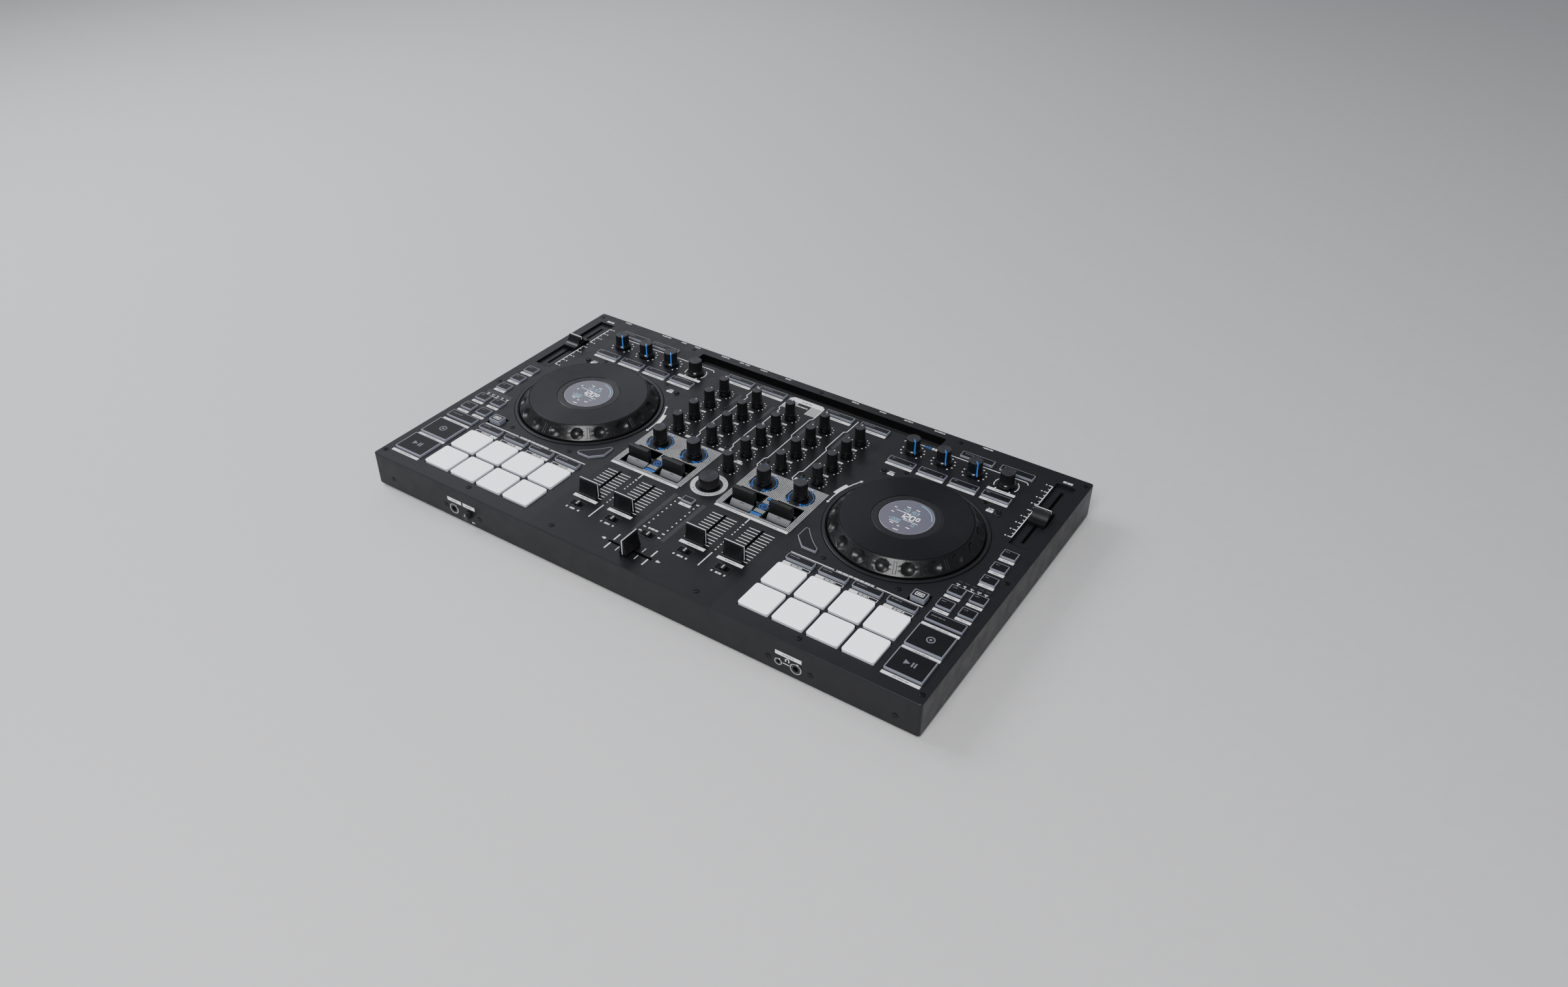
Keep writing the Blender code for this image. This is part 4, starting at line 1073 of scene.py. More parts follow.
def add_slot_lips(shape, x, y, width, depth):
    """Two near-black lips that close on a fader's slot, along its longer side: painted shade in
    the opening.
    """
    for side in (-1, 1):
        if width < depth:
            lip = block(x + side * 1.35, y, 0.8, depth + 1.6)
        else:
            lip = block(x, y + side * 1.35, width + 1.6, 0.8)
        add_prism(shape, lip, -1.4, 0.05)


def make_slot_lips():
    """Lips of the channel and crossfader slots, near black as painted shade."""
    shape = bmesh.new()
    for index in CHANNELS:
        x, y = node_spot(f"channel_fader_{index}")
        add_slot_lips(shape, x, y + 25.0, 1.2, 56.0)
    x, y = node_spot("crossfader")
    add_slot_lips(shape, x, y, 56.0, 1.2)
    make_piece("fader_slot_lips", shape, ["gap"])


# ---- Paddles ----------------------------------------------------------------
PADDLE_HALF = 14.4
PADDLE_PIVOT = 9.0                  # its axis under the plate's top
DRUM_RADIUS = 9.7
BLADE_SIDE = ((2.3, -1.5), (2.3, 21.6), (2.15, 22.7), (1.5, 23.5), (0.6, 23.8), (-2.8, 23.8),
              (-3.8, 23.4), (-4.3, 22.5), (-4.4, 21.4), (-4.4, -1.5))


def add_paddle_drum(shape):
    """The drum: a little more than a half round, with three marks on its rear."""
    start, stop = -0.30, math.pi + 0.30
    angles = [start + (stop - start) * k / 28 for k in range(29)]
    add_blade(shape, [(DRUM_RADIUS * math.cos(a), DRUM_RADIUS * math.sin(a)) for a in angles],
              PADDLE_HALF, 0.5)
    y, z = polar(DRUM_RADIUS + 0.05, 128)
    for middle in (-1.6, 0.0, 1.6):
        low, high = middle - 0.5, middle + 0.5
        ring = [(low, y - 0.5, z), (high, y - 0.5, z), (high, y + 0.5, z + 0.6),
                (low, y + 0.5, z + 0.6)]
        sunk = [(px, py * 0.95, pz * 0.95) for px, py, pz in ring]
        add_loft(shape, [sunk, ring], 1)


def make_paddles():
    """Rocking paddles: a grey drum under the plate with a black blade standing on it."""
    for index in CHANNELS:
        node = f"fx_paddle_{index}"
        origin = (*node_spot(node), -PADDLE_PIVOT)
        blade, drum = bmesh.new(), bmesh.new()
        add_blade(blade, BLADE_SIDE, PADDLE_HALF, 0.9)
        make_piece(node + "_blade", blade, ["blade"], node, origin,
                   nodes=[node], angle=30)
        add_paddle_drum(drum)
        make_piece(node + "_drum", drum, ["drum", "ink"], node, origin,
                   nodes=[node], angle=30)


# ---- Printing on the plate --------------------------------------------------
PAD_PITCH = 39.6
DECK_MIDDLE = 216.7                 # middle of the four pad columns
COLUMN = 323.5                      # middle of the outer key column
CUE_COLUMNS = (-77.5, -29.5, 27.5, 75.5)    # the headphone-cue keys and their labels
FADER_LOW = 76.5                    # first line of the channel faders' scales
FADER_STEP = 5.0


def add_bars(shape, x, rows, width, depth):
    """Equal printed bars in a column."""
    for y in rows:
        add_bar(shape, x, y, width, depth)


def pad_columns():
    """Middle x of the four pad columns of the right deck."""
    return [DECK_MIDDLE + (k - 1.5) * PAD_PITCH for k in range(4)]


def mirrored(shape, side):
    """Turn a shape drawn for the right deck into the left deck's."""
    if side < 0:
        shape.transform(Matrix.Scale(-1, 4, Vector((1, 0, 0))))


def add_deck_labels(shape):
    """Label bars beside the keys of the right deck."""
    for number, x in enumerate(pad_columns()):
        add_label(shape, x, 314.7, 33.5, 4.0, number)
        add_frame(shape, x - 16.2, x + 16.2, 97.6, 101.9, 0.45)
        add_mark(shape, x - 16.2, x - 6.5, 97.6, 101.9)
        add_caption(shape, x + 1.0, 99.75, 12.0, 1.5, number)
    for y in (18.2, 58.1, 97.6):
        add_label(shape, COLUMN, y, 41.0, 4.0, int(y))
    for y in (146.0, 121.5):
        for side in (-1, 1):
            add_label(shape, COLUMN + side * 12.2, y, 17.0, 4.0, int(y) + side)
    for y in (228.0, 204.0, 180.0):
        add_label(shape, COLUMN + 8.5, y, 17.0, 4.0, int(y))
    for x in (157.0, 280.0):
        add_label(shape, x, 297.0, 8.0, 4.0, int(x))
        add_caption(shape, x, 301.2, 6.6, 1.6, int(x))


def add_deck_lines(shape):
    """Lines over the mode keys and the effect knobs, with their captions."""
    columns = pad_columns()
    left, right = columns[0] - 17.5, columns[-1] + 17.5
    for x0, x1 in ((left, DECK_MIDDLE - 25.0), (DECK_MIDDLE + 25.0, right)):
        add_mark(shape, x0, x1, 117.0, 118.1)
    for x0, x1 in ((left + 3, 163.5), (181.5, right - 3)):
        add_mark(shape, x0, x1, 368.0, 369.0)
    for side, x in ((-1, left + 3), (1, right - 3)):
        add_ribbon(shape, [(x, 368.5), (x + side * 2.0, 367.9), (x + side * 3.6, 366.4),
                           (x + side * 4.6, 364.6)], 0.9)
    for x, y, width, height, seed in ((DECK_MIDDLE, 117.5, 44.0, 2.4, 5),
                                      (176.0, 368.5, 7.0, 4.0, 3), (331.5, 393.0, 12.0, 3.4, 7)):
        add_caption(shape, x, y, width, height, seed)


def add_knob_dots(shape, x, y, radius, dot):
    """Eleven dots round a knob, from seven o'clock to five."""
    for k in range(11):
        add_dot(shape, *polar(radius, 225 - 27 * k, x, y), dot)


def add_tempo_scale(shape):
    """The scale beside the right tempo fader."""
    line, low, step = 319.3, 268.2, 13.63
    for y0, y1 in ((267.8, 323.0), (336.0, 377.4)):
        add_mark(shape, line - 0.45, line + 0.45, y0, y1)
    for k in range(9):
        y = low + step * k
        if k != 4:
            add_bar(shape, line - 2.3, y, 4.6, 1.0)
            add_dot(shape, line - 7.2, y, 0.9)
        if k < 8:
            add_bar(shape, line - 1.2, y + 6.8, 2.4, 0.8)
    add_bar(shape, line - 4.0, 322.7, 5.0, 1.0)


def add_reverse_arrows(shape):
    """The double arrow printed round the mixer side of the right jog wheel."""
    x, y = node_spot("jog_wheel_right")
    radius = 94.2
    add_arc(shape, x, y, radius, 1.1, 151, 183)
    add_arc(shape, x, y, radius + 2.4, 4.0, 161, 173)
    for end, turn in ((151, 1), (183, -1)):
        tip = Vector(polar(radius, end, x, y))
        out = Vector(polar(1.0, end))
        along = Vector((out.y, -out.x)) * turn
        corners = [tip + along * 3.4, tip + out * 1.9, tip - out * 1.9]
        add_print(shape, [tuple(corner) for corner in corners[::-turn]])


def add_effect_marks(shape, deck):
    """Dots round each effect knob; the endless one has arcs and a label instead."""
    for index in (1, 2, 3, 4):
        x, y = node_spot(f"knob_fx_{deck}_{index}")
        if index < 4:
            add_knob_dots(shape, x, y, 13.8, 0.95)
            continue
        for start, stop in ((-28, 48), (150, 208)):
            add_arc(shape, x, y, 14.0, 0.9, start, stop)
        for angle in (-52, 232):
            add_dot(shape, *polar(13.8, angle, x, y), 0.95)
        add_label(shape, x, 336.0, 33.5, 4.5, 4)


def make_deck_print():
    """White and blue printing of both decks."""
    for side, deck in DECKS:
        shape, blue = bmesh.new(), bmesh.new()
        add_deck_labels(shape)
        add_deck_lines(shape)
        add_tempo_scale(shape)
        add_reverse_arrows(shape)
        mirrored(shape, side)
        add_effect_marks(shape, deck)
        make_piece(f"deck_print_{deck}", shape, ["white", "ink"])
        add_caption(blue, 168.0, 368.5, 6.4, 4.0, 9)
        mirrored(blue, side)
        make_piece(f"deck_print_blue_{deck}", blue, ["blue"])


def channel_positions():
    """Middle x of the four mixer channels."""
    return [node_spot(f"channel_fader_{index}")[0] for index in CHANNELS]


def add_mixer_knob_marks(shape):
    """Dots and label dashes under the mixer's small knobs."""
    for node in sorted(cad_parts):
        if not node.startswith("knob_") or "_fx_" in node or "filter" in node:
            continue
        x, y = node_spot(node)
        add_knob_dots(shape, x, y, 11.0, 0.72)
        if node == "knob_sampler":
            add_caption(shape, x + 2.0, y + 16.2, 12.0, 3.0, 2)
        else:
            add_caption(shape, x + 1.5, y - 15.4, 7.6, 2.9, len(node))


def add_mixer_lines(shape):
    """Jogged white lines between the mixer's columns, and the fader scales' middles."""
    for side in (-1, 1):
        for outer, inner, top in ((72.5, 69.2, 369.0), (24.4, 21.6, 364.0)):
            path = ((outer, top), (outer, 343.0), (inner, 340.0), (inner, 300.0),
                    (outer, 296.0), (outer, 246.0), (inner, 242.0), (inner, 228.0),
                    (outer, 225.0))
            add_ribbon(shape, [(side * x, y) for x, y in path], 0.85)
        x = side * 72.75
        add_bar(shape, x, 134.5, 1.2, 9.0)
        add_bar(shape, x, 58.0, 1.2, 25.0)
        rows = [FADER_LOW + FADER_STEP * k for k in range(10) if k != 5]
        add_bars(shape, x, rows, 1.3, 1.8)
        add_bar(shape, x, FADER_LOW + FADER_STEP * 10, 2.4, 1.8)


def add_master_tag(shape):
    """The master column's white header with its fine comb."""
    add_print(shape, [(-24.5, 365.0), (24.5, 365.0), (24.5, 369.5), (20.0, 373.5),
                      (-20.0, 373.5), (-24.5, 369.5)])
    add_caption(shape, 0.0, 369.0, 15.0, 2.2, 3, 1, LABEL_RISE)
    for side in (-1, 1):
        for k in range(9):
            add_bar(shape, side * (9.6 + 1.75 * k), 355.8, 0.76, 17.6)
    add_caption(shape, -1.0, 358.5, 15.0, 2.0, 6)


def add_fader_scales(shape):
    """Ruled scales beside each channel fader, and the crossfader's marks."""
    rows = [FADER_LOW + FADER_STEP * k for k in range(11)]
    for number, x in enumerate(channel_positions()):
        for side in (-1, 1):
            add_bars(shape, x + side * 9.05, rows, 13.9, 0.84)
        add_label(shape, x, 68.5, 32.0, 4.5, number)
        add_label(shape, x, 357.6, 38.0, 4.6, number + 5)
        for offset, width in ((-8.0, 2.0), (0.0, 7.0), (8.0, 2.0)):
            add_caption(shape, x + offset, 47.2, width, 2.4, number)
    for side in (-1, 1):
        add_bar(shape, side * 24.8, 19.3, 1.5, 10.6)
        add_bar(shape, side * 24.8, 35.15, 1.5, 10.7)
        add_bars(shape, side * 12.5, (20.5, 33.5), 0.8, 7.0)
        add_bar(shape, side * 34.4, 27.0, 1.6, 2.8)
        arrow = [(side * 38.6, 27.0), (side * 35.4, 28.6), (side * 35.4, 25.4)]
        add_print(shape, arrow[::side])


PANEL_INNER, PANEL_OUTER = 24.6, 120.0      # the dotted fields, to either side
PANEL_FRONT, PANEL_REAR = 144.5, 224.0
DOT_PITCH = (1.8, 1.45)


def add_effect_panels(shape):
    """Dotted fields round the filter knobs and paddles, with a white bar behind each
    pair of faders."""
    knobs = [node_spot(f"knob_filter_{index}") for index in CHANNELS]
    for index, (x, _) in enumerate(knobs):
        side = math.copysign(1, x)
        add_label(shape, x + side * (-0.6 if abs(x) > 50 else 0.6), 141.0, 47.2, 4.0, index)
    columns = int((PANEL_OUTER - PANEL_INNER) / DOT_PITCH[0]) + 1
    rows = int((PANEL_REAR - PANEL_FRONT) / DOT_PITCH[1]) + 1
    for side in (-1, 1):
        for column in range(columns):
            x = side * (PANEL_INNER + DOT_PITCH[0] * column)
            for row in range(rows):
                y = PANEL_FRONT + DOT_PITCH[1] * row
                if panel_is_open(x, y, knobs):
                    add_bar(shape, x, y, 0.80, 0.85)


def panel_is_open(x, y, knobs):
    """Whether the dotted field shows here, clear of openings, tags, arcs and labels."""
    for knob_x, knob_y in knobs:
        if math.hypot(x - knob_x, y - knob_y) < 16.4:
            return False
        if abs(x - knob_x) < 17.6 and abs(y - 166.0) < 18.6:
            return False
    middle = 72.7
    for tag_y, half_w, half_h in ((180.5, 4.2, 2.8), (150.5, 7.2, 2.8), (165.5, 6.0, 6.0)):
        if abs(abs(x) - middle) < half_w and abs(y - tag_y) < half_h:
            return False
    return True


def make_mixer_print():
    """White printing of the mixer."""
    shape, panels = bmesh.new(), bmesh.new()
    add_mixer_knob_marks(shape)
    add_mixer_lines(shape)
    add_master_tag(shape)
    add_fader_scales(shape)
    for x in CUE_COLUMNS:
        add_label(shape, x, 229.5, 6.6, 4.0, int(x) + 90)
    add_label(shape, 0.0, 120.0, 15.5, 4.2, 2)
    add_caption(shape, -1.0, 66.5, 13.0, 2.4, 4)
    for x in (-12.5, 12.5):
        for k in range(10):
            add_bar(shape, x, 58.5 + 7.6 * k, 3.4 if k in (0, 1, 9) else 1.5, 1.6)
    make_piece("mixer_print", shape, ["white", "ink"])
    add_effect_panels(panels)
    make_piece("effect_panel_print", panels, ["white", "ink"])


def make_blue_mixer_print():
    """Arcs and captions round the filter knobs, and the tags between the paddles."""
    blue = bmesh.new()
    for index in CHANNELS:
        x, y = node_spot(f"knob_filter_{index}")
        add_arc(blue, x, y, 14.6, 0.9, -60, 75)
        add_arc(blue, x, y, 13.2, 0.9, 140, 235)
        for dx, dy, width in ((3.4, 19.0, 6.6), (-10.0, -11.2, 6.0), (9.0, -11.2, 6.6)):
            add_caption(blue, x + dx, y + dy, width, 3.0, index)
    for side in (-1, 1):
        x = side * 72.4
        add_bar(blue, x, 180.5, 7.0, 3.8)
        add_bar(blue, x, 150.5, 13.0, 3.8)
        add_arc(blue, x, 165.5, 4.6, 1.1, 0, 359.9)
        add_arc(blue, x, 165.5, 2.0, 1.1, 30, 330)
    make_piece("mixer_print_blue", blue, ["blue"])


def make_rear_edge_marks():
    """Small captions along the rear edge, over the sockets."""
    shape = bmesh.new()
    for x, width in ((-309, 9), (-244, 14), (-215, 8), (-193, 8), (-148, 12), (-122, 6),
                     (-113, 8), (-88, 10), (-51, 8), (48, 10), (87, 10), (122, 12), (164, 14),
                     (227, 13)):
        add_caption(shape, x, 404.3, width, 1.9, abs(x))
    make_piece("rear_edge_print", shape, ["white"])


# ---- Small fixed fittings on the plate --------------------------------------
SCREW_SIDES = 24
WINDOW_LEVELS = ((-0.2, 0.0), (0.1, 0.0), (0.18, 0.15))


def add_screw(shape, x, y):
    """A countersunk screw with a hexagon socket; the seat round its head takes finish 1, near
    black as painted shade.
    """
    add_turned(shape, ((3.3, -0.1), (3.3, 0.08), (2.9, 0.12), (2.75, 0.12), (2.6, -0.05)),
               SCREW_SIDES, x, y, 1)
    rings = []
    for radius, z, hexagon in ((2.7, -0.05, False), (2.7, 0.25, False), (2.3, 0.5, False),
                               (1.35, 0.5, True), (1.25, 0.12, True), (0.2, 0.05, True)):
        ring = []
        for k in range(SCREW_SIDES):
            degrees = 360 * k / SCREW_SIDES
            from_flat = math.radians((degrees + 30) % 60 - 30)
            reach = radius * math.cos(math.pi / 6) / math.cos(from_flat)
            ring.append((*polar(reach if hexagon else radius, degrees, x, y), z))
        rings.append(ring)
    add_loft(shape, rings)


def make_screws():
    """Screws of the top plate."""
    shape = bmesh.new()
    for side, _ in DECKS:
        for x, y in ((349.5, 12.2), (349.5, 398.6), (217.1, 12.2), (95.5, 12.2),
                     (347.5, 196.5), (170.3, 308.7), (269.1, 308.7), (172.5, 127.4),
                     (261.0, 127.7), (194.5, 398.2)):
            add_screw(shape, side * x, y)
    add_screw(shape, 0.0, 400.5)
    make_piece("plate_screws", shape, ["screw", "gap"])


def add_meter(shape, x, y, width, depth, segments):
    """A meter window with a column of unlit segments."""
    add_stack(shape, block(x, y, width, depth), WINDOW_LEVELS)
    pitch = (depth - 2.0) / segments
    for k in range(segments):
        middle = y - depth / 2 + 1.0 + pitch * (k + 0.5)
        add_prism(shape, block(x, middle, width * 0.42, pitch * 0.68), 0.0, 0.26, 1)


def make_meters():
    """Channel meters, the two master meters and the decks' lamp strips."""
    shape = bmesh.new()
    for x in (-77.5, -29.0, 28.5, 76.5):
        add_meter(shape, x, 321.0, 5.0, 38.0, 8)
    for x in (-19.0, 19.0):
        add_meter(shape, x, 92.8, 6.2, 76.5, 14)
    for side in (-1, 1):
        add_stack(shape, block(side * 324.0, 173.0, 40.0, 6.0), WINDOW_LEVELS)
        for k in range(5):
            x = side * (307.5 + 7.7 * k)
            add_prism(shape, block(x, 173.0, 5.4, 2.2), 0.0, 0.28, 1)
            add_caption(shape, x, 168.4, 4.0, 1.3, k + 2, 2, PRINT_RISE)
            add_bar(shape, x, 166.1, 0.7, 2.2, finish=2)
        add_mark(shape, side * 307.5, side * 338.3, 164.4, 165.0, finish=2)
    make_piece("meters_and_lamps", shape, ["meter", "lamp", "white"])


def add_slide_switch(shape, x, y, throw):
    """A three-way slide switch: frame, well and lever; the well's floor takes finish 1, near
    black as painted shade.
    """
    outer = block(x, y, 20.0, 11.6)
    well = block(x, y, 16.2, 7.8)
    add_loft(shape, [[(px, py, z) for px, py in ring] for ring, z in (
        (outer, -0.2), (outer, 0.25), (inset(outer, 0.3), 0.45), (inset(well, -0.3), 0.45),
        (well, 0.2), (well, -0.2))], 0, closed=True)
    add_prism(shape, well, -0.3, 0.04, 1)
    lever = soften(block(x + throw, y, 5.6, 6.6), 0.5)
    add_stack(shape, lever, ((0.0, 0.0), (2.2, 0.15), (2.6, 0.5)), 0)
    add_prism(shape, block(x + throw, y, 0.9, 5.6), 2.4, 2.68, 2)


def add_small_key(shape, x, y):
    """A round headphone-cue key in a collar."""
    add_turned(shape, ((4.1, -0.1), (4.1, 0.5), (3.8, 0.8), (3.6, 0.8), (3.6, -0.1)), 32,
               x, y, 0, closed=True)
    add_turned(shape, ((3.4, -0.1), (3.4, 1.3), (3.0, 1.7), (1.6, 1.7), (1.4, 1.45),
                       (0.2, 1.4)), 32, x, y, 1)


def make_mixer_switches():
    """Slide switches, headphone-cue keys and the back key, fixed to the plate."""
    shape = bmesh.new()
    for x in channel_positions() + [0.0]:
        add_slide_switch(shape, x, 56.2, 0.0)
    make_piece("mixer_slide_switches", shape, ["plastic", "gap", "pointer"])
    keys = bmesh.new()
    for x in CUE_COLUMNS:
        add_small_key(keys, x, 238.2)
    make_piece("channel_cue_keys", keys, ["collar", "key_face"])
    back = bmesh.new()
    outline = block(-1.0, 128.2, 15.0, 9.0)
    add_key(back, outline, 2.2, 0.9, 0.95)
    make_piece("back_key", back, ["key_body", "key_face"])


def make_browse_ring():
    """The silver ring printed round the browse knob."""
    x, y = node_spot("browse_encoder")
    shape = bmesh.new()
    add_turned(shape, ((15.6, -0.1), (15.6, 0.3), (15.9, 0.45), (20.8, 0.45), (21.2, 0.25),
                       (21.2, -0.1)), 96, closed=True)
    for start in (52, 232):
        for k in range(7):
            add_prism(shape, circle(*polar(18.4, start + 12 * k), 0.9, 5), 0.3, 0.5, 1)
    make_piece("browse_ring", shape, ["silver", "ink"], origin=(x, y, 0))


def make_slot_liner():
    """Three rubber ribs along the tablet slot's floor."""
    shape = bmesh.new()
    floor = -9.75
    for k in range(3):
        y = SLOT_Y - 5.5 + 5.5 * k
        add_stack(shape, block(0, y, SLOT_WIDTH - 8, 2.2), ((floor, 0.0), (floor + 0.9, 0.2)))
    make_piece("tablet_slot_ribs", shape, ["rubber"])


WELL_Y = 322.4                      # middle of the tempo faders' wells
WELL_DEPTH = 130.0                  # how far they reach along y


def make_tempo_wells():
    """Lips of the tempo faders' slots on the wells' floors, and lines along the wells' edges,
    near black as painted shade.
    """
    shape = bmesh.new()
    for side, deck in DECKS:
        x = node_spot(f"tempo_fader_{deck}")[0]
        for lip in (-1, 1):
            add_prism(shape, block(x + lip * 1.7, WELL_Y, 1.4, 110.0), -3.4, -2.95)
        for end in (-1, 1):
            y = WELL_Y + end * (WELL_DEPTH / 2 - 0.4)
            add_bar(shape, x, y, 21.2, 0.5, 0.05)
        add_bar(shape, x - side * 11.4, WELL_Y, 0.5, WELL_DEPTH, 0.05)
    make_piece("tempo_slot_lips", shape, ["gap"])


# ---- Front and rear faces ---------------------------------------------------
FRONT_ROW = -28.0                   # middle of the front sockets and screws
REAR_ROW = -23.5                    # middle of the XLR and jack sockets
PHONO_ROW = -25.5                   # middle of each pair of phono sockets
INLET_ROW = -24.0                   # middle of the power inlet and switch
DATA_ROW = -30.0                    # middle of the data sockets
LARGE_RING = (6.6, 5.45)            # outer radius and bore round a 6.35 mm jack
LARGE_INSERT = (5.1, 3.25)


def add_socket_ring(shape, x, y, outer, bore, height, finish=0, sides=40):
    """A threaded ring round a socket."""
    add_turned(shape, ((bore, 0.05), (bore, height), (bore + 0.4, height + 0.1),
                       (outer - 0.3, height + 0.1), (outer, height - 0.2), (outer, 0.05)),
               sides, x, y, finish, closed=True)


def make_front_fittings():
    """Jack rings, screws and plain marks of the front face."""
    rings, inserts, screws, marks = (bmesh.new() for _ in range(4))
    for x, ring, insert in ((-232.0, LARGE_RING, LARGE_INSERT),
                            (202.0, (4.4, 3.35), (3.1, 1.85)),
                            (222.0, LARGE_RING, LARGE_INSERT)):
        add_socket_ring(rings, x, FRONT_ROW, *ring, 0.7)
        add_socket_ring(inserts, x, FRONT_ROW, *insert, 0.62)
    for x in (-245.0, -194.0, 190.0, 238.0, -330.0, 330.0):
        add_screw(screws, x, FRONT_ROW)
    for x, width in ((-230.5, 21.0), (-208.5, 18.0), (213.0, 30.0)):
        add_label(marks, x, -17.0, width, 4.6, int(abs(x)))
    for x in (-215.5, -204.5):
        add_caption(marks, x, -37.0, 3.6, 1.6, 4)
    add_ribbon(marks, [(207.0, FRONT_ROW), (214.5, FRONT_ROW)], 0.7)
    add_arc(marks, 212.0, -22.6, 1.9, 0.7, 0, 180)
    for side in (-1, 1):
        add_bar(marks, 212.0 + side * 1.9, -23.5, 1.2, 2.2)
    for name, shape, finishes, slot in (
            ("jack_rings", rings, ["chrome"], "chrome"),
            ("jack_inserts", inserts, ["plastic"], "knob"),
            ("screws", screws, ["screw", "gap"], "screw"),
            ("print", marks, ["white", "ink"], "print_white")):
        make_piece("front_" + name, shape, finishes, face="front")


def socket_x(x):
    """A place along the rear, given in plate x, as x on the rear face."""
    return -x


def make_rear_fittings():
    """Flanges, rings and contacts of the rear sockets."""
    plastic, metal, colours = bmesh.new(), bmesh.new(), bmesh.new()
    for x in map(socket_x, (48.0, 87.0, 164.0, 227.0)):
        flange = soften(block(x, REAR_ROW, 26.0, 30.0), 3.0)
        add_frame_plate(plastic, flange, circle(x, REAR_ROW, 11.35, 40), 1.1)
        for side in (-1, 1):
            add_screw(metal, x + side * 9.9, REAR_ROW - side * 12.0)
        for k in range(3):
            add_turned(metal, ((0.9, -12.8), (0.9, -3.0), (0.5, -2.5)), 12,
                       *polar(5.0, 90 + 120 * k, x, REAR_ROW))
    for x in map(socket_x, (-216.0, -191.0)):
        add_socket_ring(metal, x, REAR_ROW, 7.2, 5.45, 1.2, sides=6)
    for x in map(socket_x, (-148.0, -122.0, -88.0, -51.0)):
        for row, finish in ((1, 0), (-1, 1)):
            y = PHONO_ROW + row * 7.0
            add_socket_ring(colours, x, y, 6.4, 4.35, 0.9, finish)
            add_socket_ring(metal, x, y, 4.42, 1.55, 5.93)
    make_piece("rear_flanges", plastic, ["plastic"], face="rear")
    make_piece("rear_contacts", metal, ["chrome", "gap"], face="rear")
    make_piece("rear_phono_rings", colours, ["red", "cream"], face="rear")


def add_frame_plate(shape, outline, hole, height):
    """A flat plate with one hole, from an outer and an inner outline about one centre."""
    middle = Vector(hole[0]).lerp(Vector(hole[len(hole) // 2]), 0.5)
    ring = [cast_to(outline, middle, Vector(point) - middle) for point in hole]
    rings = [[(x, y, z) for x, y in loop] for loop, z in (
        (hole, 0.05), (hole, height), (ring, height), (ring, 0.05))]
    add_loft(shape, rings, closed=True)


def cast_to(outline, middle, direction):
    """Where a ray from the middle of a convex outline meets it."""
    for k, here in enumerate(outline):
        start, end = Vector(here) - middle, Vector(outline[(k + 1) % len(outline)]) - middle
        edge = end - start
        cross = direction.x * edge.y - direction.y * edge.x
        if abs(cross) < 1e-9:
            continue
        reach = (start.x * edge.y - start.y * edge.x) / cross
        share = (start.x * direction.y - start.y * direction.x) / cross
        if reach > 0 and -1e-6 <= share <= 1 + 1e-6:
            return tuple(middle + direction * reach)
    return tuple(middle + direction)


def make_rear_panel_parts():
    """Power inlet, power switch and data sockets, low parts set on the rear wall."""
    shape = bmesh.new()
    x = socket_x(-309.0)
    add_stack(shape, soften(block(x, INLET_ROW, 30.0, 24.0), 1.5),
              ((0.05, 0.0), (1.0, 0.0), (1.3, 0.3)))
    # finish 1, near black: painted shade in the inlet's recess
    add_prism(shape, soften(block(x, INLET_ROW, 24.0, 16.5), 3.0), 1.2, 1.36, 1)
    for dx, dy in ((-7.0, -1.5), (0.0, 3.0), (7.0, -1.5)):
        add_prism(shape, block(x + dx, INLET_ROW + dy, 1.6, 4.0), 1.3, 1.9, 2)
    x = socket_x(-281.0)
    add_stack(shape, soften(block(x, INLET_ROW, 15.0, 21.0), 1.0), ((0.05, 0.0), (1.2, 0.2)))
    rocker = block(x, INLET_ROW, 10.5, 16.0)
    add_stack(shape, rocker, ((1.1, 0.0), (2.6, 0.6), (2.8, 1.2)), 3)
    for x, width, height in ((-264.0, 12.5, 6.0), (-249.0, 12.5, 6.0), (-234.0, 15.0, 6.8)):
        x = socket_x(x)
        add_stack(shape, block(x, DATA_ROW, width, height), ((0.05, 0.0), (0.5, 0.1)), 2)
        # finish 1, near black: painted shade in the data sockets' openings
        add_prism(shape, block(x, DATA_ROW, width - 1.4, height - 1.4), 0.45, 0.56, 1)
        add_prism(shape, block(x, DATA_ROW + 0.8, width - 3.6, 1.3), 0.5, 0.64)
    make_piece("rear_inlets", shape, ["plastic", "gap", "chrome", "knob"],
               face="rear")


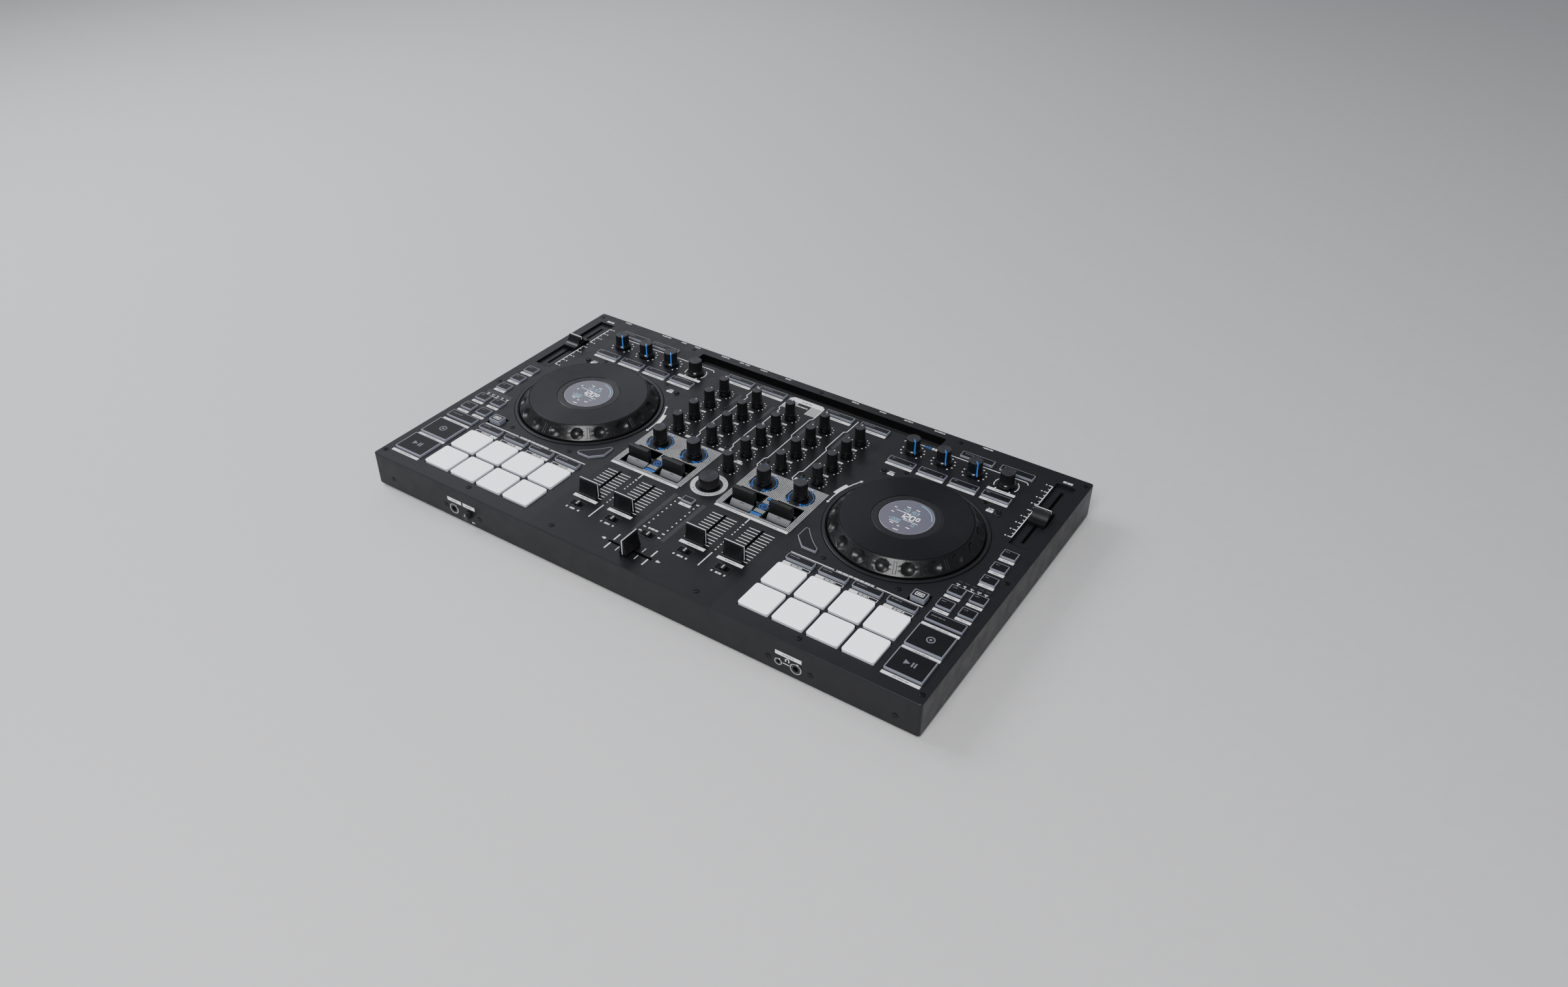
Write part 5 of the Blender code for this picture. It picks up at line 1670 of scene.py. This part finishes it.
# ---- Camera, light and floor ------------------------------------------------
def make_camera():
    """The camera at the reference view."""
    data = bpy.data.cameras.new("camera")
    data.sensor_width = 36.0
    data.sensor_fit = "HORIZONTAL"
    data.lens = 28.083
    data.clip_start = 0.02
    camera = bpy.data.objects.new("camera", data)
    axes = (Vector((0.835904, 0.548747, 0.011858)), Vector((-0.333657, 0.490868, 0.804812)),
            Vector((0.435817, -0.676702, 0.593412)))
    turn = Matrix(axes).transposed().to_4x4()
    camera.matrix_world = Matrix.Translation((0.666146, -0.919217, 0.845953)) @ turn
    bpy.context.scene.collection.objects.link(camera)
    bpy.context.scene.camera = camera


def add_light(name, place, target, size, power, colour=(1.0, 1.0, 1.0)):
    """A square soft light that faces a point."""
    data = bpy.data.lights.new(name, "AREA")
    data.shape = "SQUARE"
    data.size = size
    data.energy = power
    data.color = colour
    light = bpy.data.objects.new(name, data)
    light.location = place
    aim = Vector(target) - Vector(place)
    light.rotation_euler = aim.to_track_quat("-Z", "Y").to_euler()
    bpy.context.scene.collection.objects.link(light)


def make_studio():
    """A pale floor, soft lights and an even pale surround."""
    mesh = bpy.data.meshes.new("floor")
    reach = 6.0
    mesh.from_pydata([(-reach, -reach, 0), (reach, -reach, 0), (reach, reach, 0),
                      (-reach, reach, 0)], [], [(0, 1, 2, 3)])
    mesh.materials.append(surface("floor_pale", (0.88, 0.88, 0.89), 0.70, vary=0.02,
                                  grain=400.0, relief=0.05))
    floor = bpy.data.objects.new("floor", mesh)
    bpy.context.scene.collection.objects.link(floor)
    world = bpy.data.worlds.new("studio")
    world.use_nodes = True
    background = world.node_tree.nodes["Background"]
    background.inputs["Color"].default_value = (0.86, 0.88, 0.92, 1.0)
    background.inputs["Strength"].default_value = 0.22
    bpy.context.scene.world = world
    add_light("key", (0.55, -1.75, 2.05), (0, 0, 0), 1.1, 46.0)
    add_light("left", (-1.9, -0.1, 1.7), (0, 0, 0), 1.2, 26.0, (0.94, 0.96, 1.0))
    add_light("rear", (-1.5, 1.5, 1.3), (-0.2, -0.1, 0), 1.6, 6.0, (0.93, 0.95, 1.0))


make_camera()
make_studio()
dress_cad_nodes()
make_feet()
make_keys()
make_transport_buttons()
make_jogs()
make_knobs()
make_curve_knob()
make_fader_caps()
make_slot_lips()
make_tempo_wells()
make_paddles()
make_deck_print()
make_mixer_print()
make_blue_mixer_print()
make_rear_edge_marks()
make_screws()
make_meters()
make_mixer_switches()
make_browse_ring()
make_slot_liner()
make_front_fittings()
make_rear_fittings()
make_rear_panel_parts()
